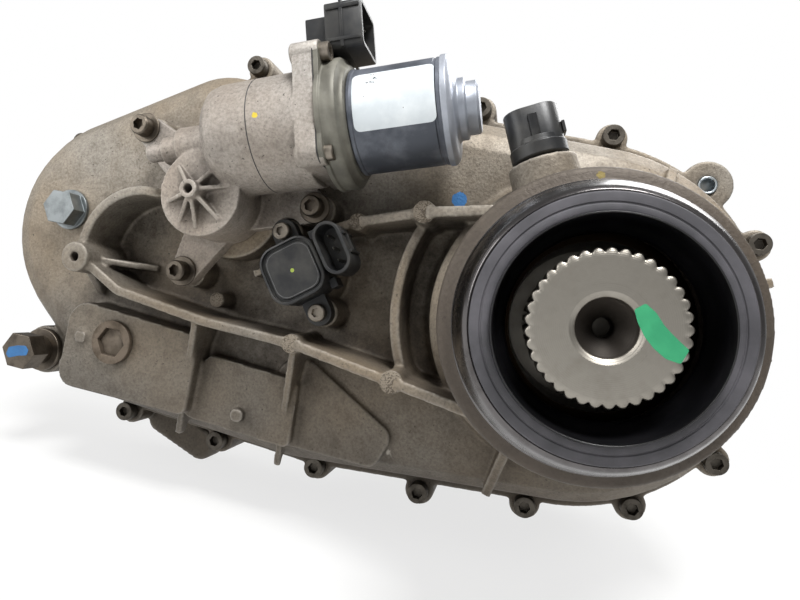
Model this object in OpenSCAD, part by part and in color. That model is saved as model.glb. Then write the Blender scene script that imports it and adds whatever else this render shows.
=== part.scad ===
// Two-speed chain-driven transfer case with an electric shift actuator.
// Every piece is drawn in a bench frame: x across, y up, z backwards from the
// gearbox mounting face. bench() stands it up, so that Y points forwards.

/* [Chain drive] */
// Pitch of the silent chain
chain_pitch = 9.525; // [9.4:0.005:9.7]
// Teeth on each chain sprocket
sprocket_teeth = 32; // [30:2:32]
// Shaft distance, counted in chain pitches
centre_pitches = 23; // [22:1:24]
// Width of the chain over its outer plates
chain_w = 28; // [24:0.5:29]
// Height of the middle of the chain above the mounting face
chain_z = 128; // [127:0.5:129]

/* [Casing] */
// Depth of the joint face between the two case halves
split_z = 119; // [116:0.5:122]
// Thickness of each flange at the joint face
flange_t = 12; // [9:0.5:14]
// How far the flanges stand out past the walls
flange_rim = 6; // [4:0.5:7]
// Wall thickness of the two halves
wall = 5; // [4:0.25:6]
// Depth of the outside of the rear wall
rear_z = 168; // [167:0.5:172]
// Depth of the outside of the front wall
pan_z = 73; // [72:0.5:73.5]
// Outer radius of the wall round the main shaft
main_lobe_r = 79; // [78:0.5:82]
// Outer radius of the wall round the front output shaft
left_lobe_r = 62; // [61.5:0.5:64]
// Outer radius of the upper hump over the shift shaft
hump_r = 41; // [39:0.5:42]
// Outer radius of the lower corner at the sump
sump_r = 29; // [27:0.5:30]
// Shank diameter of the case bolts
case_bolt_d = 6; // [5:0.5:8]

/* [Gearbox flange] */
// Radius of the neck round the planetary set
neck_r = 66; // [65:0.5:68]
// Thickness of the mounting flange
mount_t = 14; // [10:0.5:16]
// Radius of the mounting flange
mount_r = 84; // [80:0.5:88]
// Pitch circle diameter of the mounting holes
mount_pcd = 150; // [148:0.5:152]
// Diameter of a mounting hole
mount_hole_d = 10.5; // [8.5:0.5:11]
// Number of mounting holes
mount_holes = 6; // [5:1:8]

/* [Planetary gears] */
// Module of the planetary gears
gear_m = 1.85; // [1.8:0.01:1.87]
// Depth of the front face of the planet gears
planet_z = 42; // [42:0.5:44]
// Face width of the planetary gears
planet_w = 22; // [18:0.5:22]

/* [Shafts] */
// Tip diameter of the rear output splines
spline_d = 39.2; // [37:0.1:40]
// Teeth on the rear output spline
spline_n = 37; // [30:1:40]
// Depth of the rear end of the output shaft
shaft_end_z = 258; // [252:0.5:260]
// Diameter of the centre bore in the output shaft
centre_bore_d = 14.9; // [10:0.1:18]
// Bore radius of the input shaft spline
input_bore_r = 17.5; // [16:0.1:18]
// Diameter of the input shaft
input_d = 45; // [44:0.5:46]
// Diameter of the front output shaft at its bearings
front_shaft_d = 30; // [28:0.5:32]

/* [Range shift] */
// Travel of the range sleeve from high to low
shift_travel = 10; // [8:0.5:10]
// Turn of the shift shaft from high to low, in degrees
shift_turn = 90; // [80:5:100]
// Radius of the shift shaft
shift_shaft_r = 8; // [7:0.25:9]
// Radius of the cam drum
drum_r = 20; // [18:0.5:21]
// Radius of the fork rail
rail_r = 7; // [6:0.25:8]
// Radius of the follower pin of the fork
follower_r = 2.5; // [2:0.1:3]

/* [Tail] */
// Outer radius of the tail casting at the collar
collar_r = 45; // [44:0.25:46]
// Depth of the rear end of the cast collar
collar_z = 238; // [234:0.5:242]
// Depth of the rear end of the tail
tail_end_z = 256; // [254:0.5:258]
// Radius of the seal's opening
seal_open_r = 27.6; // [27:0.1:29]
// Radius of the bushing that the slip yoke runs in
yoke_r = 24.05; // [23:0.05:25]

/* [Shift actuator] */
// Depth of the motor axis
motor_z = 198; // [196:0.5:200]
// Slope of the motor axis, in degrees
motor_slope = 15.4; // [12:0.1:18]
// Outer diameter of the motor can
can_d = 38; // [37:0.5:41]
// Length of the motor can
can_l = 33; // [31:0.5:37]
// Outer diameter of the gear housing barrel
barrel_d = 43; // [42:0.5:45]
// Radius of the ribbed round cover
cover_r = 17; // [16.75:0.25:18]

/* [Hidden] */

// Round faces that fit together are smooth; hulled castings take fewer facets.
$fn = 96;
hull_fn = 48;
eps = 0.01;
disc_h = 0.4;
// Radial clearances: of a turning fit, of a seated fit, and between pieces that never touch
run_gap = 0.05;
seat_gap = 0.02;
free_gap = 0.3;

// Chain drive
pitch_r = chain_pitch / (2 * sin(180 / sprocket_teeth));
centres = chain_pitch * centre_pitches;
tooth_tip_r = pitch_r - 0.4;
tooth_root_r = pitch_r - 5.6;
sprocket_w = chain_w + 2;
sprocket_z = chain_z - sprocket_w / 2;

// Casing: corner circles of the joint flange as [x, y, radius of the wall]
left_x = -centres;
hump_x = left_x + 47;
hump_y = 48;
sump_x = left_x + 16;
sump_y = -56;
belly = [left_x + 109, -49.5, 40];
lobes = [[0, 0, main_lobe_r], [hump_x, hump_y, hump_r], [left_x, 0, left_lobe_r], [sump_x, sump_y, sump_r],
    belly];
pan_in_z = pan_z + wall;
rear_in_z = rear_z - wall - 1;
front_flange_z = split_z - flange_t;
rear_flange_z = split_z + flange_t;

// Case bolts as [x, y], and the two lugs at the right
bolt_r = case_bolt_d / 2;
head_r = bolt_r * 1.6;
ear_r = bolt_r + 4;
bolt_reach = 4;
rim_d = main_lobe_r + 8;
function on_main(a, r = rim_d) = [r * cos(a), r * sin(a)];
function on_left(a) = [left_x + (left_lobe_r + 8.5) * cos(a), (left_lobe_r + 8.5) * sin(a)];
low_y = belly[1] - belly[2] - 5.8;
case_bolt_at = [
    [sump_x - 11, low_y + 2.5], [left_x + 60, low_y], [left_x + 115, low_y], [left_x + 168, low_y + 1.5],
    on_main(-91), on_main(-60), on_main(-33), on_main(34), on_main(87),
    [-57, main_lobe_r + 13], [-112, main_lobe_r + 16.5], [hump_x - 4, hump_y + hump_r + 10.5],
    on_left(91), on_left(139), on_left(187)];
big_lug_at = on_main(56, rim_d - 0.5);
big_lug_r = 11;
big_lug_hole_r = bolt_r + 1;

// Gearbox flange and neck
mount_hole_at = mount_pcd / 2;
neck_rib_dirs = [-120:60:120];
neck_rib_t = 5;
lower_lug = [[left_x + 13, low_y - 4, 7.5], [left_x + 40, low_y - 12, 8.5]];
lower_lug_top = [[left_x + 17, low_y + 10, 7.5], [left_x + 36, low_y + 8, 8]];
lower_lug_t = 14;

// Bosses on the rear wall as [x, y]: plugs, bracket boss and the ear of the long bolt
fill_at = [left_x - 20, 7];
fill_r = 6;
fill_head_r = 9.6;
fill_flats = 15;
tapped_at = [left_x + 7.5, -13.5];
tapped_top = rear_z + 25;
tapped_d = 4.2;
tapped_depth = 16;
ear_at = [left_x - 29, -64.5];
ear_z = rear_z - 8;
ear_bolt_r = 5;
drain_at = [left_x + 25, -48.5];
drain_r = 9;
pad_z = rear_z + 12;

// Round bosses along the ribs as [x, y, radius, top]
rib_bosses = [
    [-89, 22.7, 3.6, rear_z + 22], [-62, 29.6, 4.4, rear_z + 30], [-61, -34.2, 4.4, rear_z + 34],
    [left_x + 114, -29.6, 4, rear_z + 26], [left_x + 8, -49.5, 3, pad_z + 1.5],
    [left_x + 89, -67.5, 3, pad_z - 2], [left_x + 71, -20, 3.4, rear_z + 12]];

// Straight ribs of the rear wall as [from, to, top at from, top at to, thickness]
rib_base = rear_z - 6;
straight_ribs = [
    // From the arched rib to the actuator seat
    [[left_x + 38.5, 20.2], [left_x + 43, 22.4], rear_z + 22, rear_z + 19, 4],
    // Gussets of the bracket boss
    [tapped_at, tapped_at + [26, 1], tapped_top - 3, rear_z + 3, 3],
    [tapped_at, tapped_at + [-3, -16], tapped_top - 4, rear_z + 2, 5],
    // Long lower rib from the bracket boss to the tail
    [tapped_at, [left_x + 29, -24.3], rear_z + 22, rear_z + 22, 4],
    [[left_x + 29, -24.3], [left_x + 73, -29.1], rear_z + 22, rear_z + 23, 4],
    [[left_x + 73, -29.1], [left_x + 114, -29.6], rear_z + 23, rear_z + 26, 4],
    [[left_x + 114, -29.6], [-61, -34.2], rear_z + 26, rear_z + 34, 4],
    [[-61, -34.2], [-30, -37], rear_z + 34, rear_z + 42, 4],
    // Upper rib to the tail
    [[-101, 19], [-89, 22.7], rear_z + 15, rear_z + 22, 4],
    [[-89, 22.7], [-62, 29.6], rear_z + 22, rear_z + 30, 4],
    [[-62, 29.6], [-36, 33], rear_z + 30, rear_z + 38, 4],
    // Upright ribs across the sump beam
    [[left_x + 67, -30], [left_x + 56, -86], rear_z + 20, rear_z - 2, 3],
    [[left_x + 112.5, -30], [left_x + 106, -89], rear_z + 20, rear_z - 4, 3],
    [[-61, -34.2], [-66, -82], rear_z + 28, rear_z - 6, 3],
    [[-16, -52], [-20, -78], rear_z + 20, rear_z - 5, 4],
    // Ribs over the crown beside the tail
    [[22, 50], [27, 68], rear_z + 16, rear_z - 5, 4],
    [[50, 22], [70, 30], rear_z + 16, rear_z - 5, 4],
    [[54, -14], [72, -18], rear_z + 16, rear_z - 5, 4],
    [[40, -38], [53, -50], rear_z + 16, rear_z - 5, 4]];

// Raised oil channel along the sump, as belts of circles with their tops
sump_belts = [
    [pad_z, [[left_x + 62, -41, 4], [left_x + 9, -43.5, 10], [left_x + 7, -65, 8.5], [left_x + 62, -69, 4]]],
    [pad_z - 6, [
        [left_x + 109, -51, 4], [left_x + 72, -50, 5], [left_x + 66, -70, 5], [left_x + 110, -73, 4]]],
    [pad_z - 10, [
        [left_x + 150, -64, 6], [left_x + 112, -50, 12], [left_x + 108, -68, 9], [left_x + 148, -72, 5]]]];

// Planetary set
sun_n = 30;
planet_n = 12;
planet_count = 3;
ring_n = sun_n + 2 * planet_n;
sun_r = gear_m * sun_n / 2;
planet_r = gear_m * planet_n / 2;
ring_r = gear_m * ring_n / 2;
orbit_r = sun_r + planet_r;
pin_r = 5;
ring_gear_r = 58;
carrier_gap = 2.5;
carrier_t = 6;
carrier_z = planet_z + planet_w + carrier_gap;
low_ring_r = 40;
low_ring_l = 14;
plate_r = ring_r - 2;
front_plate_t = 4;
front_plate_z = planet_z - 1.5 - front_plate_t;
addendum = 0.95;
dedendum = 1.25;
gear_play = 0.07;
input_front_z = 6;
input_spline_n = 27;
input_spline_l = 44;
pilot_r = 12;
pilot_wall = 2;
pilot_z = 58;

// Range sleeve
sleeve_z = carrier_z + carrier_t + 3.5;
dog_z = sleeve_z;
dog_w = 8;
dog_tip_r = 26;
dog_root_r = 24.2;
dog_n = 24;
sleeve_l = 24;
sleeve_r = 34;
groove_z = sleeve_z + 16;
groove_w = 6;
groove_r = 31;
hub_z = dog_z + dog_w + 2;
hub_end_z = sprocket_z - 1.5;

// Shift shaft, rail and cam
shift_x = left_x + 70;
shift_y = 21.5;
rail_x = shift_x + 49;
drum_z = pan_in_z + 2;
drum_l = 24;
follower_z = groove_z + groove_w / 2 - 7;
fork_t = groove_w - 0.8;
fork_end_y = 37;
slot_depth = 5;
slot_play = 0.45;
slot_end = follower_r + 0.5;
drum_mid_r = drum_r - slot_depth / 2;
rail_boss = 5;

// Clutch pack between the drive sprocket and the rear wall
plate_n = 4;
plate_t = 1.5;
pack_z = sprocket_z + sprocket_w + 3;
drum_out_r = 55;
drum_in_r = 51;
drum_web_t = 2.5;
clutch_hub_r = 30;
clutch_gap = 0.3;
clutch_l = 2 * plate_n * (plate_t + clutch_gap);
clutch_spline_n = 24;
journal_r = 22;

// Front end of the snout that holds the front output bearing
snout_z = 58;

// Bearings as [outer radius, inner radius, width]
tail_brg = [45, 25, 18];
front_brg = [40, 20, 18];
rear_out_brg = [31, front_shaft_d / 2, 14];
input_brg = [42.5, input_d / 2, 16];
tail_brg_z = rear_z + 4;
front_brg_z = snout_z + 12;
rear_out_brg_z = rear_in_z - rear_out_brg[2] - 5;
input_brg_z = 19;
ball_share = 0.29;
race_share = 0.13;
ball_count = 9;
brg_boss = 5;

// Tail: radii and depths along the main axis
tail_base_r = 56;
seal_bore_r = 33;
seal_z = tail_end_z - 16;
bush_wall = 2.5;
tail_room = seal_z - tail_brg_z - tail_brg[2];
bush_z = tail_brg_z + tail_brg[2] + 0.4 * tail_room;
bush_l = 0.52 * tail_room;
chamber_r = 38;
tone_z = tail_brg_z + tail_brg[2] + 4;
tone_r = 34;
tone_l = 8;
tone_teeth = 30;
shaft_root = 1.1;
centre_bore_l = 30;
bore_chamfer = 1.6;

// Front output
front_nose_z = 20;
snout_r = 48;
flange_disc_r = 50;
flange_pcd = 80;
flange_hole_r = 5.25;
flange_face_z = front_nose_z + 8;
flange_disc_t = 9;
front_seal_r = front_shaft_d / 2 + 17;
hub_out_r = front_shaft_d / 2 + 9;
nut_flats = 30;
nut_h = 8;
thread_r = 10;
input_seal_r = input_d / 2 + 9;
pilot_hole_r = input_d / 2 + 7;

// Shift actuator: the motor axis passes the shift shaft at worm_dist
motor_dx = cos(motor_slope);
motor_dy = sin(motor_slope);
worm_dist = 20.6;
worm_s = -17;
wheel_n = 32;
wheel_m = 0.9;
wheel_w = 9;
wheel_z = motor_z - wheel_w / 2;
wheel_pitch_r = wheel_n * wheel_m / 2;
worm_addendum = 0.7;
worm_pitch_r = worm_dist - wheel_pitch_r;
worm_lead = PI * wheel_m;
worm_l = 10;
worm_play = 0.14;
worm_journal_r = 4;
stub_r = 8.4;
stub_s = worm_s - 10;
nub_r = 3.5;
nub_l = 16;
nub_step_r = 5.6;
nub_step_l = 8;
cover_rib_dirs = [20, 62, 140, 205, 245, 277, 320];
cover_rib_t = 1.6;
motor_x = shift_x - worm_s * motor_dx - worm_dist * motor_dy;
motor_y = shift_y - worm_s * motor_dy + worm_dist * motor_dx;
seat_z = rear_z + 13;
base_t = 6;
shaft_tail_r = 5;
cover_z = motor_z + 8;
cover_tube_r = 3.6;
cover_tube_bore_r = 1.8;
barrel_s = -10;
barrel_l = 40;
housing_flange_s = barrel_s + barrel_l;
bell_s = housing_flange_s + 7;
bell_l = 10;
can_s = bell_s + bell_l;
cap_s = can_s + can_l;
can_wall = 1.5;
magnet_t = 4;
plug_s = bell_s + 2.3;
plug_v = 33.7;
plug_w = 2;
plug_l = 14;
plug_wide = 20;
plug_h = 17.6;
plug_wall = 1.6;
plug_arm_v = 27.9;
plug_arm_h = 12;
actuator_lugs = [[shift_x - 13, shift_y - 32], [shift_x + 40.5, shift_y + 4], [shift_x - 43, shift_y + 26]];
spigot_r = 16;
lug_screw_r = 3;

// Position sensor: its rotor meshes with a gear on the shift shaft
sensor_gear_m = 1.3;
position_gear_n = 52;
sensor_gear_n = 20;
sensor_dist = sensor_gear_m * (position_gear_n + sensor_gear_n) / 2;
sensor_dir = -28.8;
sensor_x = shift_x + sensor_dist * cos(sensor_dir);
sensor_y = shift_y + sensor_dist * sin(sensor_dir);
sensor_turn = 36;
sensor_seat_z = rear_z + 17;
sensor_gear_z = rear_in_z - 11;
sensor_gear_w = 8;
sensor_shaft_r = 4;
sensor_h = 15;
sensor_ear = 18;
sensor_posts = [for (k = [-1, 1]) [sensor_x, sensor_y] + polar(sensor_ear * k, sensor_turn + 90)];
sensor_post_r = 6;
sensor_screw_r = 2.5;
sensor_neck_r = 8;
sensor_plug = 19;

// Speed sensor on the tail
speed_dir = 114;
speed_z = tone_z + 5;
speed_r = 8;
speed_gap = 1.2;
speed_l = tail_base_r + 9 - tone_r;

// Chain links
pin_hole_r = 2.05;
link_back = 3.9;
link_toe = 5.1;
link_half = chain_pitch / 2;
plate_gap = 0.4;
link_rows = (chain_w - 2 * plate_gap) / 4;
tooth_foot = 2.6;
tooth_top = 1.3;

// Stands the bench frame up: z backwards becomes -Y, y becomes +Z
module bench() {
    rotate([90, 0, 0]) children();
}

// A point at the given radius and angle
function polar(r, a) = [r * cos(a), r * sin(a)];

// The two points where a belt touches circle a and circle b, going from a to b
function belt_points(a, b) =
    let (d = [b[0] - a[0], b[1] - a[1]])
    let (turn = atan2(d[1], d[0]) - acos((a[2] - b[2]) / norm(d)))
    [[a[0], a[1]] + polar(a[2], turn), [b[0], b[1]] + polar(b[2], turn)];

// The outline of a belt laid round circles [x, y, r], which run counter-clockwise.
// Its straight runs lie a hair inside the tangents, so that they cross each circle cleanly.
module belt(circles) {
    count = len(circles);
    inner = [for (c = circles) [c[0], c[1], c[2] - eps]];
    for (c = circles)
        translate([c[0], c[1]]) circle(r = c[2]);
    polygon([for (i = [0:count - 1]) each belt_points(inner[i], inner[(i + 1) % count])]);
}

// The case outline, with every wall moved out by grow
module case_outline(grow = 0) {
    belt([for (c = lobes) [c[0], c[1], c[2] + grow]]);
}

// A tube along z
module tube(r_out, r_in, z, h) {
    translate([0, 0, z]) difference() {
        cylinder(r = r_out, h = h);
        translate([0, 0, -1]) cylinder(r = r_in, h = h + 2);
    }
}

// A hexagon across its flats, along z
module hex(flats, h) {
    cylinder(d = flats / cos(30), h = h, $fn = 6);
}

// An upright wall of thickness t from [x, y] to [x, y], with its own top at each end
module rib(from, to, base, top_from, top_to, t = 4) {
    run = norm([to[0] - from[0], to[1] - from[1]]);
    translate([from[0], from[1], 0])
        rotate([0, 0, atan2(to[1] - from[1], to[0] - from[0])])
            translate([0, t / 2, 0]) rotate([90, 0, 0])
                linear_extrude(t) polygon([[0, base], [run, base], [run, top_to], [0, top_from]]);
}

// A curved upright wall round [x, y]
module arc_rib(x, y, r, t, a0, a1, base, top) {
    translate([x, y, 0]) rotate([0, 0, a0]) rotate_extrude(angle = a1 - a0)
        translate([r - t / 2, base]) square([t, top - base]);
}

// A ball bearing in three parts, for its outer race, its inner race and its balls
module outer_race(b) {
    mid = (b[0] + b[1]) / 2;
    ball = (b[0] - b[1]) * ball_share;
    edge = (b[0] - b[1]) * race_share;
    rotate_extrude() difference() {
        translate([mid + edge, 0]) square([b[0] - seat_gap - mid - edge, b[2]]);
        translate([mid, b[2] / 2]) circle(r = ball + free_gap);
    }
}
module inner_race(b) {
    mid = (b[0] + b[1]) / 2;
    ball = (b[0] - b[1]) * ball_share;
    edge = (b[0] - b[1]) * race_share;
    rotate_extrude() difference() {
        translate([b[1] + seat_gap, 0]) square([mid - edge - b[1] - seat_gap, b[2]]);
        translate([mid, b[2] / 2]) circle(r = ball + free_gap);
    }
}
module balls(b) {
    mid = (b[0] + b[1]) / 2;
    for (i = [0:ball_count - 1]) rotate([0, 0, i * 360 / ball_count])
        translate([mid, 0, b[2] / 2]) sphere(r = (b[0] - b[1]) * ball_share, $fn = hull_fn);
}

// Involute gear outline: half the angle that a tooth of n teeth takes at radius r
function involute(a) = tan(a) * 180 / PI - a;
function tooth_half(n, m, r, play) =
    let (base = m * n / 2 * cos(20))
    90 / n - play / (m * n / 2) * 180 / PI + involute(20) - involute(acos(min(1, base / r)));
module gear_outline(n, m, root, tip, play) {
    radii = [root, m * n / 2, tip];
    flank = [for (r = radii) [r, tooth_half(n, m, r, play)]];
    polygon([for (i = [0:n - 1]) each concat(
        [for (k = [0:2]) polar(flank[k][0], i * 360 / n - flank[k][1])],
        [for (k = [2:-1:0]) polar(flank[k][0], i * 360 / n + flank[k][1])])]);
}

// The outline of an outer gear with its usual root and tip
module pinion_outline(n, m) {
    gear_outline(n, m, m * (n / 2 - dedendum), m * (n / 2 + addendum), gear_play);
}

// A ring of straight splines: teeth between two radii, each wide x pitch at its root
module spline_outline(n, root, tip, wide = 0.56, narrow = 0.4) {
    step = 360 / n;
    polygon([for (i = [0:n - 1]) each [
        polar(root, (i - wide / 2) * step), polar(tip, (i - narrow / 2) * step),
        polar(tip, (i + narrow / 2) * step), polar(root, (i + wide / 2) * step)]]);
}

// Front half of the case: gearbox flange, neck, pan and front output snout
module front_case() {
    color("#a39a8b") bench() difference() {
        union() {
            difference() {
                front_outside();
                pan_hollow();
            }
            front_seats();
        }
        front_bores();
        for (p = case_bolt_at) translate([p[0], p[1], front_flange_z - 6])
            cylinder(r = bolt_r + seat_gap, h = flange_t + 8);
        lug_hole(front_flange_z);
    }
}
module front_outside() {
    mount_flange();
    cylinder(r = neck_r, h = pan_z + 3);
    joint_flange(front_flange_z);
    pan_block();
    translate([left_x, 0, snout_z]) cylinder(r = snout_r, h = pan_z - snout_z + 2);
    for (p = case_bolt_at)
        translate([p[0], p[1], front_flange_z - 10]) cylinder(r = ear_r - 1, h = 11);
    translate([shift_x, shift_y, pan_z - 8]) cylinder(r = shift_shaft_r + rail_boss, h = 10);
    translate([rail_x, shift_y, pan_z - 6]) cylinder(r = rail_r + rail_boss, h = 8);
    for (a = neck_rib_dirs)
        rib(polar(neck_r - 2, a), polar(mount_r - 8, a),
            mount_t - 1, pan_z + 2, mount_t + 14, neck_rib_t);
    translate([0, 0, front_flange_z - 6]) linear_extrude(lower_lug_t) {
        belt(lower_lug);
        belt(lower_lug_top);
    }
}
// Flange at the joint face, with the ears of the case bolts and the big lug
module joint_flange(z) {
    translate([0, 0, z]) linear_extrude(flange_t) {
        case_outline(flange_rim);
        for (p = case_bolt_at) translate(p) circle(r = ear_r);
        translate(big_lug_at) circle(r = big_lug_r);
    }
}
module lug_hole(z) {
    translate([big_lug_at[0], big_lug_at[1], z - 1]) cylinder(r = big_lug_hole_r, h = flange_t + 2);
}
module mount_flange() {
    difference() {
        cylinder(r = mount_r, h = mount_t);
        for (i = [0:mount_holes - 1]) rotate([0, 0, (i + 0.5) * 360 / mount_holes])
            translate([mount_hole_at, 0, -1]) cylinder(d = mount_hole_d, h = mount_t + 2);
    }
}
// The pan behind the neck, with drafted walls and a rounded front edge
module pan_block() {
    wall_step(front_flange_z + 1, 0, pan_z + 6, 1.5, pan_z + 1.8, 3.5, pan_z, 8);
}
module pan_hollow() {
    wall_step(split_z + 1, wall, pan_in_z + 6, wall + 1, pan_in_z + 3, wall + 2, pan_in_z, wall + 5.5);
}
// A block with the case outline: at four depths its walls are drawn in by the given amounts
module wall_step(z0, in0, z1, in1, z2, in2, z3, in3) {
    hull() for (c = lobes) translate([c[0], c[1], 0]) {
        translate([0, 0, z0]) cylinder(r = c[2] - in0, h = disc_h, $fn = hull_fn);
        translate([0, 0, z1]) cylinder(r = c[2] - in1, h = disc_h, $fn = hull_fn);
        translate([0, 0, z2]) cylinder(r = c[2] - in2, h = disc_h, $fn = hull_fn);
        translate([0, 0, z3]) cylinder(r = c[2] - in3, h = disc_h, $fn = hull_fn);
    }
}
// Seats that stand inside the pan: the front output bearing, the shift shaft and the rail
module front_seats() {
    translate([left_x, 0, pan_in_z - 2])
        cylinder(r = front_brg[0] + brg_boss, h = front_brg_z + front_brg[2] - pan_in_z + 1);
    translate([shift_x, shift_y, pan_in_z - 2]) cylinder(r = shift_shaft_r + rail_boss, h = 3.5);
    translate([rail_x, shift_y, pan_in_z - 2]) cylinder(r = rail_r + rail_boss, h = 6);
}
module front_bores() {
    // Ring gear seat, room for the carrier, and the neck open into the pan
    translate([0, 0, planet_z - 2]) cylinder(r = ring_gear_r + seat_gap, h = pan_in_z - planet_z + 4);
    translate([0, 0, front_plate_z - 1]) cylinder(r = plate_r + 1, h = planet_z - front_plate_z);
    // Input bearing, input seal and the pilot opening
    translate([0, 0, input_brg_z]) cylinder(r = input_brg[0], h = planet_z - input_brg_z);
    translate([0, 0, 5]) cylinder(r = input_seal_r, h = input_brg_z);
    translate([0, 0, -1]) cylinder(r = pilot_hole_r, h = 8);
    // Front output bearing and seal
    translate([left_x, 0, front_brg_z - 1]) cylinder(r = front_brg[0], h = front_brg[2] + 10);
    translate([left_x, 0, snout_z - 1]) cylinder(r = front_seal_r, h = 30);
    // Blind seats of the shift shaft and the fork rail
    translate([shift_x, shift_y, pan_z - 4]) cylinder(r = shift_shaft_r + run_gap, h = 20);
    translate([rail_x, shift_y, pan_z - 2]) cylinder(r = rail_r + seat_gap, h = 20);
}

// Rear half of the case: drafted body, left dome, ribs, bosses and tail
module rear_case() {
    color("#a89e8e") bench() difference() {
        union() {
            difference() {
                rear_outside();
                wall_step(split_z - 1, wall, rear_z - 22, wall + 2,
                    rear_z - 14, wall + 5, rear_in_z - disc_h, wall + 15);
            }
            rear_seats();
        }
        rear_bores();
    }
}
module rear_outside() {
    joint_flange(split_z);
    rear_block();
    tail_casting();
    rear_bosses();
    rear_ribs();
    for (b = sump_belts) translate([0, 0, rear_z - 14]) linear_extrude(b[0] - rear_z + 14) belt(b[1]);
}
// Seats that stand inside the rear wall: the fork rail and the front output's rear bearing
module rear_seats() {
    translate([rail_x, shift_y, rear_in_z - 8]) cylinder(r = rail_r + 2.3, h = 9);
    translate([left_x, 0, rear_out_brg_z])
        cylinder(r = rear_out_brg[0] + brg_boss, h = rear_in_z - rear_out_brg_z + 2);
}
// The body behind the joint flange: full round dome at the left, flat wall elsewhere
module rear_block() {
    hull() {
        wall_step(rear_flange_z - 1, 0, rear_z - 20, 2, rear_z - 10, 5, rear_z - 3, 11);
        for (c = lobes) translate([c[0], c[1], rear_z - disc_h])
            cylinder(r = c[2] - 18, h = disc_h, $fn = hull_fn);
    }
}
// Turned outline of the tail, from the rear wall to the machined nose
module tail_casting() {
    rotate_extrude() polygon([
        [0, rear_z - 4], [tail_base_r + 4, rear_z - 4], [tail_base_r + 4, rear_z], [tail_base_r, rear_z + 5],
        [tail_base_r - 2, rear_z + 24], [collar_r - 1, rear_z + 34], [collar_r - 2, rear_z + 38],
        [collar_r - 2, collar_z - 10], [collar_r, collar_z - 8], [collar_r, collar_z - 1],
        [collar_r - 1, collar_z], [collar_r - 5.5, collar_z + 1], [collar_r - 5.7, collar_z + 4],
        [collar_r - 7, collar_z + 10], [collar_r - 10, tail_end_z - 1], [collar_r - 11, tail_end_z],
        [0, tail_end_z]]);
}
module rear_bosses() {
    // Fill plug boss on the dome
    translate([fill_at[0], fill_at[1], rear_z - 14]) cylinder(r = fill_head_r + 1.4, h = 15);
    // Tapped bracket boss
    translate([tapped_at[0], tapped_at[1], rear_z - 4])
        cylinder(r1 = 8, r2 = 6.5, h = tapped_top - rear_z + 4);
    for (b = rib_bosses) translate([b[0], b[1], rear_z - 3]) cylinder(r = b[2], h = b[3] - rear_z + 3);
    // Actuator seat and its screw posts
    translate([shift_x, shift_y, rear_z - 3]) cylinder(r = spigot_r + 7, h = seat_z - rear_z + 3);
    for (p = actuator_lugs) translate([p[0], p[1], rear_z - 16]) cylinder(r = 6.5, h = seat_z - rear_z + 16);
    // Position sensor seat with two screw posts
    translate([sensor_x, sensor_y, rear_z - 3]) cylinder(r = 13, h = sensor_seat_z - rear_z + 3);
    for (p = sensor_posts) translate([p[0], p[1], rear_z - 3])
        cylinder(r = sensor_post_r, h = sensor_seat_z - rear_z + 3);
    // Speed sensor boss on the tail
    rotate([0, 0, speed_dir]) translate([tail_base_r - 16, 0, speed_z]) rotate([0, 90, 0])
        cylinder(r = speed_r + 4, h = 18);
    // Ear of the long bracket bolt
    translate([ear_at[0], ear_at[1], ear_z - 22]) cylinder(r = 12, h = 22);
    rib([ear_at[0] + 11, ear_at[1] + 5], [left_x + 12, -44], ear_z - 22, ear_z - 1, ear_z + 4, 18);
}
module rear_ribs() {
    for (r = straight_ribs) rib(r[0], r[1], rib_base, r[2], r[3], r[4]);
    // Arched rib from the bracket boss round to the actuator
    arc_rib(left_x + 36, -8, 28.5, 4, 84, 188, rib_base, rear_z + 22);
    // Upright wall beside the tail, and the curved wall round the actuator seat
    arc_rib(0, 0, 68.5, 4, 154, 209, rib_base, rear_z + 20);
    arc_rib(shift_x, shift_y, 31, 3, -62, -6, rib_base, rear_z + 10);
}
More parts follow.
